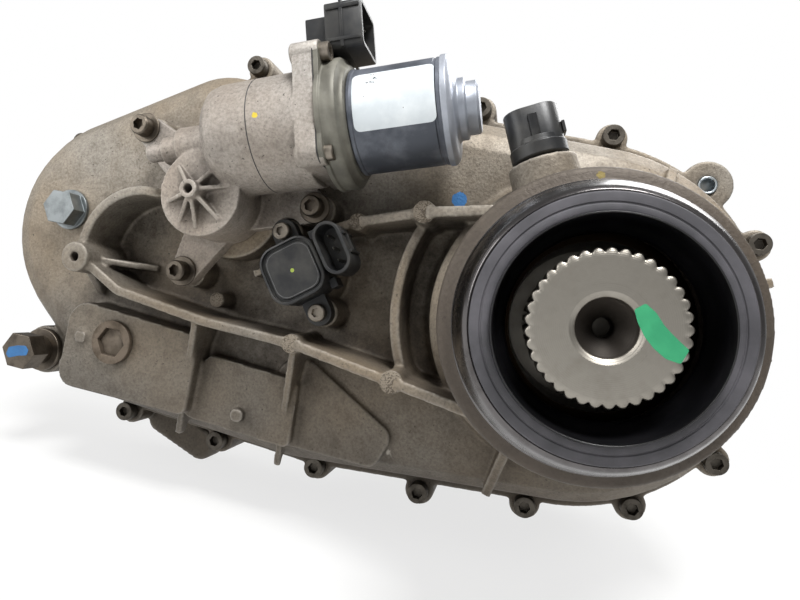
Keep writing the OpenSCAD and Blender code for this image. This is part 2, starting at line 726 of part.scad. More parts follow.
module rear_bores() {
    for (p = case_bolt_at) {
        translate([p[0], p[1], split_z - 1]) cylinder(r = bolt_r + 0.4, h = flange_t + 2);
        translate([p[0], p[1], rear_flange_z]) cylinder(r = head_r + 0.8, h = 9);
    }
    lug_hole(split_z);
    // Rear bearing, tone ring chamber, bushing and seal seats
    translate([0, 0, rear_in_z - 6]) cylinder(r = drum_out_r - 6, h = tail_brg_z - rear_in_z + 6);
    translate([0, 0, tail_brg_z - 1]) cylinder(r = tail_brg[0], h = tail_brg[2] + 1);
    translate([0, 0, tail_brg_z + tail_brg[2] - 1])
        cylinder(r = chamber_r, h = bush_z - tail_brg_z - tail_brg[2] + 1);
    translate([0, 0, bush_z - 1]) cylinder(r = yoke_r + bush_wall + seat_gap, h = bush_l + 2);
    translate([0, 0, bush_z + bush_l]) cylinder(r = yoke_r + 4, h = seal_z - bush_z - bush_l + 1);
    translate([0, 0, seal_z]) cylinder(r = seal_bore_r, h = tail_end_z - seal_z + 1);
    // Rear bearing of the front output, with the chamber that the fill plug opens
    translate([left_x, 0, rear_out_brg_z - 1]) cylinder(r = rear_out_brg[0], h = rear_out_brg[2] + 1);
    translate([left_x, 0, rear_out_brg_z + 1])
        cylinder(r = rear_out_brg[0] - 3, h = rear_in_z - rear_out_brg_z - 1);
    // Rail, shift shaft, sensor shaft and the hollow under the actuator's barrel
    translate([rail_x, shift_y, rear_in_z - 9]) cylinder(r = rail_r + seat_gap, h = 9);
    translate([shift_x, shift_y, rear_in_z - 1])
        cylinder(r = spigot_r + seat_gap, h = seat_z - rear_in_z + 2);
    translate([sensor_x, sensor_y, rear_in_z - 1])
        cylinder(r = sensor_neck_r + seat_gap, h = sensor_seat_z - rear_in_z + 2);
    along_motor(barrel_s - 1) cylinder(r = barrel_d / 2 + 0.8, h = barrel_l + 20);
    // Threaded holes: plugs, bracket boss, ear bolt, actuator and sensor screws
    translate([fill_at[0], fill_at[1], rear_in_z - 1]) cylinder(r = fill_r + seat_gap, h = 9);
    translate([drain_at[0], drain_at[1], rear_z - 12]) cylinder(r = drain_r + seat_gap, h = 40);
    translate([tapped_at[0], tapped_at[1], tapped_top - tapped_depth])
        cylinder(d = tapped_d, h = tapped_depth + 1);
    translate([ear_at[0], ear_at[1], ear_z - 23]) cylinder(r = ear_bolt_r + seat_gap, h = 24);
    for (p = actuator_lugs) translate([p[0], p[1], seat_z - 11]) cylinder(r = lug_screw_r + seat_gap, h = 12);
    for (p = sensor_posts) translate([p[0], p[1], sensor_seat_z - 10])
        cylinder(r = sensor_screw_r + seat_gap, h = 11);
    rotate([0, 0, speed_dir]) translate([chamber_r - 8, 0, speed_z]) rotate([0, 90, 0])
        cylinder(r = speed_r + seat_gap, h = tail_base_r - chamber_r + 12);
}

// Socket-head bolts round the joint face
module case_bolts() {
    color("#5e5a54") bench() for (p = case_bolt_at) translate([p[0], p[1], 0]) difference() {
        union() {
            translate([0, 0, rear_flange_z]) cylinder(r = head_r, h = case_bolt_d);
            translate([0, 0, front_flange_z - bolt_reach])
                cylinder(r = bolt_r, h = rear_flange_z - front_flange_z + bolt_reach + 1);
        }
        translate([0, 0, rear_flange_z + 3]) hex(bolt_r * 1.5, case_bolt_d);
    }
}
// Steel bush pressed through the big lug
module big_lug_bush() {
    color("#c9c9c6") bench() translate([big_lug_at[0], big_lug_at[1], 0])
        tube(big_lug_hole_r - seat_gap, bolt_r, front_flange_z, 2 * flange_t + 1);
}
module fill_plug() {
    color("#9fa8ad") bench() translate([fill_at[0], fill_at[1], rear_z + 1]) {
        translate([0, 0, -7]) cylinder(r = fill_r, h = 8);
        cylinder(r = fill_head_r, h = 1.8);
        hex(fill_flats, 8.5);
    }
}
module drain_plug() {
    color("#8d8577") bench() translate([drain_at[0], drain_at[1], pad_z]) difference() {
        union() {
            translate([0, 0, -20]) cylinder(r = drain_r, h = 21);
            cylinder(r = drain_r + 0.8, h = 2.5);
        }
        translate([0, 0, -4]) hex(12, 8);
    }
}
// Long bolt for a bracket: shank, collar and hexagon
module ear_bolt() {
    color("#8f8a76") bench() translate([ear_at[0], ear_at[1], ear_z]) {
        translate([0, 0, -22]) cylinder(r = ear_bolt_r, h = 26);
        translate([0, 0, 3]) cylinder(r = ear_bolt_r + 2, h = 4);
        translate([0, 0, 7]) hex(16, 9);
    }
}
module ear_washer() {
    color("#a8adb0") bench() translate([ear_at[0], ear_at[1], 0]) tube(10.6, ear_bolt_r + seat_gap, ear_z, 3);
}

// Seal in the tail nose, with a rubber face and a lip that leans inwards
module rear_seal() {
    color("#2b2c2e") bench() rotate_extrude() polygon([
        [seal_bore_r - seat_gap, seal_z + 1], [seal_bore_r - seat_gap, tail_end_z + 0.5],
        [collar_r - 11.5, tail_end_z + 0.5], [collar_r - 11.5, tail_end_z + 2],
        [seal_open_r + 1.5, tail_end_z + 5.5],
        [seal_open_r, tail_end_z + 5], [seal_open_r, tail_end_z], [yoke_r + 0.6, seal_z + 5],
        [yoke_r + 0.6, seal_z + 4], [seal_open_r, seal_z + 1]]);
}
module yoke_bushing() {
    color("#b08d4a") bench() tube(yoke_r + bush_wall, yoke_r, bush_z, bush_l);
}
module input_seal() {
    color("#2b2c2e") bench() tube(input_seal_r - seat_gap, input_d / 2 + run_gap, 7, 10);
}
module front_output_seal() {
    color("#2b2c2e") bench() translate([left_x, 0, 0])
        tube(front_seal_r - seat_gap, hub_out_r + run_gap, snout_z, 9);
}

// Outer races, fixed in the case
module outer_races() {
    color("#c4c6c8") bench() {
        translate([0, 0, tail_brg_z]) outer_race(tail_brg);
        translate([left_x, 0, front_brg_z]) outer_race(front_brg);
        translate([left_x, 0, rear_out_brg_z]) outer_race(rear_out_brg);
        translate([0, 0, input_brg_z]) outer_race(input_brg);
    }
}
module bearing_balls() {
    color("#d8dadc") bench() {
        translate([0, 0, tail_brg_z]) balls(tail_brg);
        translate([left_x, 0, front_brg_z]) balls(front_brg);
        translate([left_x, 0, rear_out_brg_z]) balls(rear_out_brg);
        translate([0, 0, input_brg_z]) balls(input_brg);
    }
}

// Ring gear, pressed in the neck
module ring_gear() {
    color("#8b8d90") bench() translate([0, 0, planet_z - 1]) linear_extrude(planet_w + 2) difference() {
        circle(r = ring_gear_r);
        rotate([0, 0, 180 * (planet_n + 1) / ring_n])
            gear_outline(ring_n, gear_m, ring_r - addendum * gear_m, ring_r + dedendum * gear_m, -gear_play);
    }
}

// Rail that the range fork slides on, held in both halves
module fork_rail() {
    color("#b9bbbd") bench() translate([rail_x, shift_y, pan_z - 1])
        cylinder(r = rail_r, h = rear_in_z - pan_z);
}

// Input shaft with the sun gear and the high-range dog teeth
module input_shaft() {
    color("#9c9ea1") bench() difference() {
        union() {
            translate([0, 0, input_front_z]) cylinder(r = input_d / 2, h = dog_z - input_front_z);
            translate([0, 0, planet_z]) linear_extrude(planet_w) pinion_outline(sun_n, gear_m);
            translate([0, 0, dog_z]) linear_extrude(dog_w) spline_outline(dog_n, dog_root_r, dog_tip_r);
        }
        translate([0, 0, input_front_z - 1]) linear_extrude(input_spline_l)
            spline_outline(input_spline_n, input_bore_r - 1.2, input_bore_r, 0.44, 0.6);
        translate([0, 0, pilot_z - 3]) cylinder(r = pilot_r + pilot_wall, h = 40);
    }
}
module input_race() {
    color("#c4c6c8") bench() translate([0, 0, input_brg_z]) inner_race(input_brg);
}
module pilot_bush() {
    color("#b08d4a") bench()
        tube(pilot_r + pilot_wall - seat_gap, pilot_r + run_gap, pilot_z, dog_z + dog_w - pilot_z - 2);
}

// Planet carrier: two plates, three pins and the low-range ring
module planet_carrier() {
    color("#84868a") bench() {
        difference() {
            union() {
                translate([0, 0, carrier_z]) cylinder(r = plate_r, h = carrier_t);
                translate([0, 0, carrier_z]) cylinder(r = low_ring_r, h = carrier_t + low_ring_l);
            }
            translate([0, 0, carrier_z - 1]) cylinder(r = dog_tip_r + 2, h = 40);
            translate([0, 0, carrier_z + carrier_t]) cylinder(r = sleeve_r + free_gap, h = 40);
        }
        tube(plate_r, dog_tip_r + 4, front_plate_z, front_plate_t);
        for (i = [0:planet_count - 1]) rotate([0, 0, i * 360 / planet_count])
            translate([orbit_r, 0, front_plate_z + 1]) cylinder(r = pin_r, h = carrier_z - front_plate_z);
    }
}

// Planet gear number i, turned so that it meshes with the sun and the ring
module planet_gear(i) {
    a = i * 360 / planet_count;
    color("#94969a") bench() translate([orbit_r * cos(a), orbit_r * sin(a), planet_z])
        linear_extrude(planet_w) difference() {
            rotate([0, 0, a + 180 + a * sun_n / planet_n + 180 / planet_n])
                pinion_outline(planet_n, gear_m);
            circle(r = pin_r + run_gap);
        }
}
module planet_gear_1() {
    planet_gear(0);
}
module planet_gear_2() {
    planet_gear(1);
}
module planet_gear_3() {
    planet_gear(2);
}

// Sleeve that slides on the main shaft's hub and locks it to the input
module range_sleeve() {
    color("#7f8185") bench() difference() {
        union() {
            translate([0, 0, sleeve_z]) cylinder(r = sleeve_r, h = groove_z - sleeve_z);
            translate([0, 0, groove_z]) cylinder(r = groove_r, h = groove_w);
            translate([0, 0, groove_z + groove_w])
                cylinder(r = sleeve_r, h = sleeve_z + sleeve_l - groove_z - groove_w);
        }
        translate([0, 0, sleeve_z - 1]) linear_extrude(sleeve_l + 2)
            spline_outline(dog_n, dog_root_r + 0.15, dog_tip_r + 0.15, 0.64, 0.48);
    }
}

// Fork: hub on the rail, arms in the sleeve's groove and a pin in the cam
module range_fork() {
    fork_z = groove_z + (groove_w - fork_t) / 2;
    hub_r = rail_r + 4;
    color("#8e8a80") bench() {
        difference() {
            union() {
                translate([rail_x, shift_y, fork_z - 9]) cylinder(r = hub_r, h = 17);
                translate([0, 0, fork_z]) linear_extrude(fork_t) belt([
                    [rail_x, shift_y, hub_r], [rail_x + 2, shift_y - 12, 6],
                    [-6, -fork_end_y, 8], [-6, fork_end_y, 8]]);
            }
            translate([0, 0, fork_z - 1]) cylinder(r = groove_r + 0.35, h = fork_t + 2);
            translate([rail_x, shift_y, fork_z - 10]) cylinder(r = rail_r + run_gap, h = 20);
            translate([-2, -60, fork_z - 1]) cube([60, 120, fork_t + 2]);
        }
        translate([rail_x - hub_r + 2, shift_y, follower_z]) rotate([0, -90, 0])
            cylinder(r = follower_r, h = rail_x - hub_r + 2 - shift_x - drum_r + slot_depth - 0.5);
    }
}

// Shift shaft from the front wall to the actuator's wheel
module shift_shaft() {
    color("#b3b5b8") bench() translate([shift_x, shift_y, 0]) {
        translate([0, 0, pan_z - 3]) cylinder(r = shift_shaft_r, h = wheel_z - 1.5 - pan_z + 3);
        translate([0, 0, wheel_z - 2]) cylinder(r = shaft_tail_r, h = wheel_w + 3);
    }
}
// Drum with a helical groove for the fork's follower pin
module cam_drum() {
    lead_deg = shift_turn / shift_travel;
    slot_l = shift_travel + 2 * slot_end;
    slot_half = (follower_r + slot_play) * sqrt(pow(180 / PI / drum_mid_r, 2) + pow(lead_deg, 2));
    color("#6f7174") bench() translate([shift_x, shift_y, 0]) difference() {
        translate([0, 0, drum_z]) cylinder(r = drum_r, h = drum_l);
        translate([0, 0, drum_z - 1]) cylinder(r = shift_shaft_r + seat_gap, h = drum_l + 2);
        translate([0, 0, follower_z - slot_end]) rotate([0, 0, lead_deg * slot_end])
            linear_extrude(slot_l, twist = lead_deg * slot_l, slices = 16, segments = 11)
                polygon(concat(
                    [polar(drum_r - slot_depth, -slot_half), polar(drum_r - slot_depth, slot_half)],
                    [for (k = [4:-1:-4]) polar(drum_r + 2.5, slot_half * k / 4)]));
    }
}

// Worm wheel on the rear end of the shift shaft, its teeth slanted to suit the worm
module worm_wheel() {
    slant = wheel_w * worm_lead / (2 * PI * worm_pitch_r) / wheel_pitch_r * 180 / PI;
    color("#d8cfa8") bench() translate([shift_x, shift_y, wheel_z]) difference() {
        rotate([0, 0, motor_slope + 90 - slant / 2]) linear_extrude(wheel_w, twist = -slant, slices = 3)
            gear_outline(wheel_n, wheel_m, wheel_pitch_r - 1.1 * wheel_m,
                wheel_pitch_r + worm_addendum, worm_play);
        translate([0, 0, -1]) cylinder(r = shaft_tail_r + seat_gap, h = wheel_w + 2);
    }
}
// Right-handed worm with a single thread, which has its gap at the wheel
module worm() {
    root = worm_pitch_r - 1.05 * wheel_m;
    tip = worm_pitch_r + worm_addendum;
    deg_per_mm = 360 / worm_lead;
    flank = tan(20) * (tip - root) * deg_per_mm;
    crest = 90 - worm_play / 2 * deg_per_mm - tan(20) * worm_addendum * deg_per_mm;
    turn = worm_l * deg_per_mm;
    rotate([0, 0, 90 - turn / 2])
        linear_extrude(worm_l, twist = -turn, slices = ceil(turn / 22.5), segments = 18)
            polygon([for (a = [-180:20:160]) let (rise = (crest + flank - abs(a)) / flank)
                polar(root + (tip - root) * min(1, max(0, rise)), a)]);
}
// Gear on the shift shaft that turns the position sensor
module position_gear() {
    color("#c9c4b4") bench() translate([shift_x, shift_y, sensor_gear_z])
        linear_extrude(sensor_gear_w) difference() {
            rotate([0, 0, sensor_dir]) pinion_outline(position_gear_n, sensor_gear_m);
            circle(r = shift_shaft_r + seat_gap);
        }
}
// Rotor of the position sensor, driven by the gear on the shift shaft
module sensor_rotor() {
    color("#c9c4b4") bench() translate([sensor_x, sensor_y, 0]) {
        translate([0, 0, sensor_gear_z]) linear_extrude(sensor_gear_w)
            rotate([0, 0, sensor_dir + 180 / sensor_gear_n + 180])
                pinion_outline(sensor_gear_n, sensor_gear_m);
        translate([0, 0, sensor_gear_z - 4])
            cylinder(r = sensor_shaft_r, h = sensor_seat_z - sensor_gear_z + 10);
    }
}

// Places its children along the motor axis: z along the axis, y across it
module along_motor(s) {
    translate([motor_x, motor_y, motor_z]) rotate([0, 0, motor_slope]) rotate([0, 90, 0])
        translate([0, 0, s]) children();
}

// Cast housing of the actuator: base plate, ribbed cover, barrel, stub and flange
module actuator_housing() {
    color("#9d9487") bench() difference() {
        union() {
            actuator_base();
            translate([shift_x, shift_y, seat_z]) cylinder(r = cover_r, h = cover_z - seat_z);
            translate([shift_x, shift_y, cover_z - 1]) cylinder(r = cover_tube_r, h = 9);
            translate([shift_x, shift_y, 0]) for (a = cover_rib_dirs)
                rib([0, 0], polar(cover_r - 3, a), cover_z - 2, cover_z + 7, cover_z + 1, cover_rib_t);
            along_motor(0) rotate_extrude() polygon([
                [0, barrel_s], [barrel_d / 2 - 4, barrel_s], [barrel_d / 2 - 1, barrel_s + 3],
                [barrel_d / 2, barrel_s + 7], [barrel_d / 2 + 0.5, housing_flange_s], [0, housing_flange_s]]);
            along_motor(stub_s) cylinder(r = stub_r, h = barrel_s - stub_s + 1);
            along_motor(stub_s - nub_l) cylinder(r = nub_r, h = nub_l + 1);
            along_motor(stub_s - nub_step_l) cylinder(r = nub_step_r, h = nub_step_l + 1);
            along_motor(housing_flange_s - 1) linear_extrude(8) motor_flange_outline();
        }
        actuator_hollow();
    }
}
module motor_flange_outline() {
    belt([[18, -14, 5], [18, 24, 5], [-16, 20, 5], [-18, -14, 5]]);
}
// Base plate with its three lugs, and the spigot that centres it on the shift shaft
module actuator_base() {
    translate([0, 0, seat_z]) linear_extrude(base_t) {
        for (p = actuator_lugs) belt([[p[0], p[1], 6], [shift_x, shift_y, cover_r - 4]]);
        belt([[actuator_lugs[1][0], actuator_lugs[1][1], 6], [shift_x + 18, shift_y + 15, 11]]);
    }
    translate([shift_x, shift_y, rear_in_z + 1]) cylinder(r = spigot_r, h = seat_z - rear_in_z);
}
module actuator_hollow() {
    // Shaft bore, the chamber of the worm wheel and the rear seat of the shaft
    translate([shift_x, shift_y, rear_in_z]) cylinder(r = shift_shaft_r + run_gap, h = motor_z - rear_in_z);
    translate([shift_x, shift_y, wheel_z - 1])
        cylinder(r = wheel_pitch_r + worm_addendum + free_gap, h = wheel_w + 1.6);
    translate([shift_x, shift_y, wheel_z]) cylinder(r = shaft_tail_r + run_gap, h = wheel_w + 1.5);
    translate([shift_x, shift_y, cover_z + 2]) cylinder(r = cover_tube_bore_r, h = 8);
    // Worm, its front journal, and the barrel's hollow
    along_motor(stub_s + 2) cylinder(r = worm_journal_r + run_gap, h = 10);
    along_motor(worm_s - worm_l / 2 - 0.5)
        cylinder(r = worm_pitch_r + worm_addendum + free_gap, h = barrel_s - worm_s + worm_l);
    along_motor(barrel_s + 4) cylinder(r = barrel_d / 2 - 4.5, h = barrel_l + 8);
    // Screw holes, and room for the near ear of the position sensor
    for (p = actuator_lugs) translate([p[0], p[1], seat_z - 1]) cylinder(r = lug_screw_r + free_gap, h = 8);
    for (p = sensor_posts) translate([p[0], p[1], seat_z - 1]) cylinder(r = sensor_post_r + free_gap, h = 8);
}
module actuator_screws() {
    color("#8f8c82") bench() for (p = actuator_lugs) translate([p[0], p[1], seat_z + base_t]) difference() {
        union() {
            translate([0, 0, -15]) cylinder(r = lug_screw_r, h = 16);
            cylinder(r = 5.2, h = 6);
        }
        translate([0, 0, 3]) hex(5, 4);
    }
}
// Black rounded ring that the motor can is crimped to
module motor_bell() {
    color("#3a3b3d") bench() along_motor(bell_s) difference() {
        union() {
            rotate_extrude() polygon([
                [0, 0], [24, 0], [24.5, 2], [23.6, bell_l - 3], [can_d / 2 + 1.5, bell_l], [0, bell_l]]);
            linear_extrude(2) motor_flange_outline();
        }
        translate([0, 0, -1]) cylinder(r = can_d / 2 - can_wall, h = bell_l + 2);
    }
}
module motor_can() {
    color("#2f3032") bench() along_motor(can_s) tube(can_d / 2, can_d / 2 - can_wall, 0, can_l);
}
// Two curved magnets glued inside the can
module motor_magnets() {
    color("#4a4b4d") bench() along_motor(can_s + 4) for (a = [-60, 120]) rotate([0, 0, a])
        rotate_extrude(angle = 120) translate([can_d / 2 - can_wall - magnet_t, 0])
            square([magnet_t - seat_gap, can_l - 8]);
}
module motor_end_cap() {
    color("#2b2c2e") bench() along_motor(cap_s) difference() {
        rotate_extrude() polygon([
            [0, 0], [can_d / 2 + 0.6, 0], [can_d / 2 + 0.6, 2.5], [can_d / 2 - 1, 4], [11, 4],
            [11, 7.5], [9.5, 8], [9.5, 12.5], [0, 12.5]]);
        translate([0, 0, -1]) cylinder(r = worm_journal_r + run_gap, h = 9);
    }
}
// Open plug shell that stands over the bell on an arm from the gear housing
module motor_connector() {
    color("#26272a") bench() difference() {
        union() {
            along_motor(plug_s) translate([-plug_w - plug_wide / 2, plug_v - plug_h / 2, 0])
                cube([plug_wide, plug_h, plug_l]);
            along_motor(housing_flange_s + 0.5) translate([-plug_w - 6, plug_arm_v, 0])
                cube([plug_wide - 6, plug_arm_h, plug_s - housing_flange_s + 2]);
        }
        along_motor(plug_s + 4) translate([
            -plug_w - plug_wide / 2 + plug_wall, plug_v - plug_h / 2 + plug_wall, 0])
            cube([plug_wide - 2 * plug_wall, plug_h - 2 * plug_wall, plug_l]);
    }
}
// Rotor of the motor: worm, shaft and wound core
module motor_armature() {
    color("#7d6a4a") bench() {
        along_motor(stub_s + 2.5) cylinder(r = worm_journal_r, h = cap_s + 7.5 - stub_s - 2.5);
        along_motor(worm_s - worm_l / 2) worm();
        along_motor(can_s + 3) cylinder(r = can_d / 2 - can_wall - magnet_t - 1, h = can_l - 6);
    }
}

// Position sensor with a rounded square cap, two ears and an oval plug shell
module position_sensor() {
    color("#1f2023") bench() translate([sensor_x, sensor_y, sensor_seat_z]) rotate([0, 0, sensor_turn])
        difference() {
            union() {
                linear_extrude(5) belt([[0, sensor_ear, 5.2], [0, -sensor_ear, 5.2]]);
                linear_extrude(sensor_h) belt([[7, 7, 5], [-7, 7, 5], [-7, -7, 5], [7, -7, 5]]);
                translate([0, 0, -16]) cylinder(r = sensor_neck_r, h = 17);
                translate([0, 0, 5]) linear_extrude(sensor_h - 1)
                    belt([[sensor_plug, 5, 5.5], [sensor_plug, -5, 5.5]]);
                translate([8, -5, 4]) cube([8, 10, 9]);
            }
            translate([0, 0, -17]) cylinder(r = sensor_shaft_r + run_gap, h = 25);
            translate([0, 0, 9]) linear_extrude(sensor_h)
                belt([[sensor_plug, 5, 4.2], [sensor_plug, -5, 4.2]]);
            for (k = [-1, 1]) translate([0, sensor_ear * k, -1])
                cylinder(r = sensor_screw_r + free_gap, h = 8);
        }
}
module sensor_screws() {
    color("#a9a79c") bench() for (p = sensor_posts) translate([p[0], p[1], sensor_seat_z + 5]) difference() {
        union() {
            translate([0, 0, -13]) cylinder(r = sensor_screw_r, h = 14);
            cylinder(r = 4.4, h = 3.6);
        }
        translate([0, 0, 2]) hex(3.6, 3);
    }
}
// Speed sensor, plugged radially into the tail over the tone ring
module speed_sensor() {
    color("#1f2023") bench() rotate([0, 0, speed_dir]) translate([tone_r + speed_gap, 0, speed_z])
        rotate([0, 90, 0]) difference() {
            union() {
                cylinder(r = speed_r, h = speed_l);
                translate([0, 0, speed_l - 7]) cylinder(r = speed_r + 2, h = 5);
                translate([0, 0, speed_l - 3]) linear_extrude(14) belt([[0, 3, 6.5], [0, -3, 6.5]]);
            }
            translate([0, 0, speed_l + 2]) linear_extrude(14) belt([[0, 3, 5], [0, -3, 5]]);
        }
}

// Main shaft from the pilot nose to the splined rear end
module main_shaft() {
    color("#b7b9bb") bench() difference() {
        union() {
            translate([0, 0, pilot_z + 2]) cylinder(r = pilot_r, h = hub_z - pilot_z - 1);
            translate([0, 0, hub_z]) linear_extrude(hub_end_z - hub_z)
                spline_outline(dog_n, dog_root_r, dog_tip_r);
            translate([0, 0, hub_end_z - 1]) cylinder(r = journal_r, h = pack_z - hub_end_z + 1);
            translate([0, 0, pack_z - 0.5]) linear_extrude(clutch_l + 1)
                spline_outline(clutch_spline_n, clutch_hub_r - 1.8, clutch_hub_r);
            translate([0, 0, pack_z + clutch_l])
                cylinder(r = tail_brg[1] + 3, h = tail_brg_z - pack_z - clutch_l);
            translate([0, 0, tail_brg_z - 1]) cylinder(r = tail_brg[1], h = tone_z + tone_l + 1 - tail_brg_z);
            translate([0, 0, tone_z + tone_l - 1]) linear_extrude(shaft_end_z - tone_z - tone_l - 0.5)
                spline_outline(spline_n, spline_d / 2 - shaft_root, spline_d / 2);
            translate([0, 0, tone_z + tone_l - 1])
                cylinder(r = spline_d / 2 - shaft_root - 0.1, h = shaft_end_z - tone_z - tone_l + 1);
        }
        translate([0, 0, shaft_end_z - centre_bore_l]) cylinder(d = centre_bore_d, h = centre_bore_l + 1);
        translate([0, 0, shaft_end_z - bore_chamfer / 2])
            cylinder(d1 = centre_bore_d, d2 = centre_bore_d + bore_chamfer * 2, h = bore_chamfer / 2 + eps);
    }
}
module main_races() {
    color("#c4c6c8") bench() translate([0, 0, tail_brg_z]) inner_race(tail_brg);
}
// Toothed ring that the speed sensor reads
module tone_ring() {
    color("#6d6f72") bench() translate([0, 0, tone_z]) linear_extrude(tone_l) difference() {
        spline_outline(tone_teeth, tone_r - 3, tone_r);
        circle(r = tail_brg[1] + seat_gap);
    }
}
// Clutch plates: friction plates turn with the main shaft, steel plates with the sprocket
module friction_plates() {
    color("#7a5f45") bench() for (i = [0:plate_n - 1])
        translate([0, 0, pack_z + 2 * i * (plate_t + clutch_gap)]) linear_extrude(plate_t) difference() {
            circle(r = drum_in_r - 3);
            spline_outline(clutch_spline_n, clutch_hub_r - 1.6, clutch_hub_r + 0.2, 0.64, 0.48);
        }
}
module steel_plates() {
    color("#8d9094") bench() for (i = [0:plate_n - 1])
        translate([0, 0, pack_z + (2 * i + 1) * (plate_t + clutch_gap)])
            linear_extrude(plate_t) difference() {
                spline_outline(clutch_spline_n, drum_in_r - 2, drum_in_r - 0.2);
                circle(r = clutch_hub_r + 2);
            }
}

// Outline of a sprocket for the silent chain
module sprocket_outline() {
    step = 360 / sprocket_teeth;
    root_half = asin(tooth_foot / tooth_root_r);
    tip_half = asin(tooth_top / tooth_tip_r);
    polygon([for (i = [0:sprocket_teeth - 1]) let (a = 90 + (i + 0.5) * step) each [
        polar(tooth_root_r, a - root_half), polar(tooth_tip_r, a - tip_half),
        polar(tooth_tip_r, a + tip_half), polar(tooth_root_r, a + root_half)]]);
}
// Sprocket on the main shaft, with the drum that holds the steel plates
module drive_sprocket() {
    drum_z0 = sprocket_z + sprocket_w;
    color("#77797c") bench() {
        difference() {
            union() {
                translate([0, 0, sprocket_z]) linear_extrude(sprocket_w) sprocket_outline();
                translate([0, 0, drum_z0]) cylinder(r = drum_out_r, h = drum_web_t);
            }
            translate([0, 0, sprocket_z - 1]) cylinder(r = journal_r + run_gap, h = sprocket_w + 6);
        }
        translate([0, 0, drum_z0 + drum_web_t]) linear_extrude(clutch_l + 1) difference() {
            circle(r = drum_out_r);
            spline_outline(clutch_spline_n, drum_in_r - 1.8, drum_in_r, 0.64, 0.48);
        }
    }
}
module driven_sprocket() {
    color("#77797c") bench() translate([left_x, 0, sprocket_z]) linear_extrude(sprocket_w) difference() {
        sprocket_outline();
        circle(r = front_brg[1] + 4 + seat_gap);
    }
}

// Front output shaft in its two bearings
module front_output_shaft() {
    shoulder_z = front_brg_z + front_brg[2];
    body_z = sprocket_z + sprocket_w;
    color("#b7b9bb") bench() translate([left_x, 0, 0]) {
        translate([0, 0, front_nose_z]) cylinder(r = thread_r, h = nut_h + 1);
        translate([0, 0, front_nose_z + nut_h])
            cylinder(r = front_shaft_d / 2, h = front_brg_z - front_nose_z);
        translate([0, 0, front_brg_z]) cylinder(r = front_brg[1], h = front_brg[2]);
        translate([0, 0, shoulder_z]) cylinder(r = front_brg[1] + 4, h = body_z - shoulder_z);
        translate([0, 0, body_z - 1])
            cylinder(r = front_shaft_d / 2, h = rear_out_brg_z + rear_out_brg[2] - body_z + 0.5);
    }
}
module front_races() {
    color("#c4c6c8") bench() translate([left_x, 0, 0]) {
        translate([0, 0, front_brg_z]) inner_race(front_brg);
        translate([0, 0, rear_out_brg_z]) inner_race(rear_out_brg);
    }
}
// Companion flange for the front propeller shaft
module companion_flange() {
    color("#8c8479") bench() translate([left_x, 0, front_nose_z]) difference() {
        union() {
            translate([0, 0, flange_face_z - front_nose_z]) cylinder(r = flange_disc_r, h = flange_disc_t);
            cylinder(r = 30, h = 12);
            cylinder(r = hub_out_r, h = front_brg_z - front_nose_z - 0.5);
            translate([0, 0, 16]) cylinder(r1 = 34, r2 = hub_out_r, h = 12);
        }
        translate([0, 0, -1]) cylinder(r = 20, h = nut_h);
        translate([0, 0, 6]) cylinder(r = front_shaft_d / 2 + seat_gap, h = 80);
        for (a = [45:90:315]) rotate([0, 0, a])
            translate([flange_pcd / 2, 0, 7]) cylinder(r = flange_hole_r, h = 12);
    }
}
module flange_nut() {
    color("#7c7f83") bench() translate([left_x, 0, front_nose_z - 1]) difference() {
        hex(nut_flats, nut_h - seat_gap);
        translate([0, 0, -1]) cylinder(r = thread_r + seat_gap, h = nut_h + 2);
    }
}

// Silent chain: links with two toes each, riding round both sprockets
module link_outline() {
    polygon([
        [-link_half - 2.4, -0.6], [-link_half - 1.2, -link_toe], [-link_half + 1.4, -link_toe],
        [-link_half + 2.8, -0.6], [-1, 0.7], [1, 0.7],
        [link_half - 2.8, -0.6], [link_half - 1.4, -link_toe], [link_half + 1.2, -link_toe],
        [link_half + 2.4, -0.6], [link_half + 3.7, 0.8], [link_half + 2.8, link_back],
        [-link_half - 2.8, link_back], [-link_half - 3.7, 0.8]]);
}
// One chain link: even links carry two outer plates and both pins, odd links one wide block
module chain_link(outer) {
    if (outer) {
        for (k = [0, 1]) translate([0, 0, k * (3 * link_rows + 2 * plate_gap)])
            linear_extrude(link_rows) link_outline();
        for (k = [-1, 1]) translate([k * link_half, 0, 0])
            cylinder(r = pin_hole_r - run_gap, h = chain_w, $fn = 24);
    } else {
        translate([0, 0, link_rows + plate_gap]) linear_extrude(2 * link_rows) difference() {
            link_outline();
            for (k = [-1, 1]) translate([k * link_half, 0]) circle(r = pin_hole_r, $fn = 24);
        }
    }
}
module silent_chain() {
    step = 360 / sprocket_teeth;
    wraps = sprocket_teeth / 2;
    mid_r = pitch_r * cos(step / 2);
    color("#56585b") bench() translate([0, 0, chain_z - chain_w / 2]) {
        for (i = [0:wraps - 1]) {
            rotate([0, 0, -(i + 0.5) * step]) translate([0, mid_r, 0]) chain_link(i % 2 == 0);
            translate([left_x, 0, 0]) rotate([0, 0, 180 - (i + 0.5) * step]) translate([0, mid_r, 0])
                chain_link((i + wraps + centre_pitches) % 2 == 0);
        }
        for (i = [0:centre_pitches - 1]) {
            translate([-(i + 0.5) * chain_pitch, -pitch_r, 0]) rotate([0, 0, 180])
                chain_link((i + wraps) % 2 == 0);
            translate([left_x + (i + 0.5) * chain_pitch, pitch_r, 0])
                chain_link((i + 2 * wraps + centre_pitches) % 2 == 0);
        }
    }
}

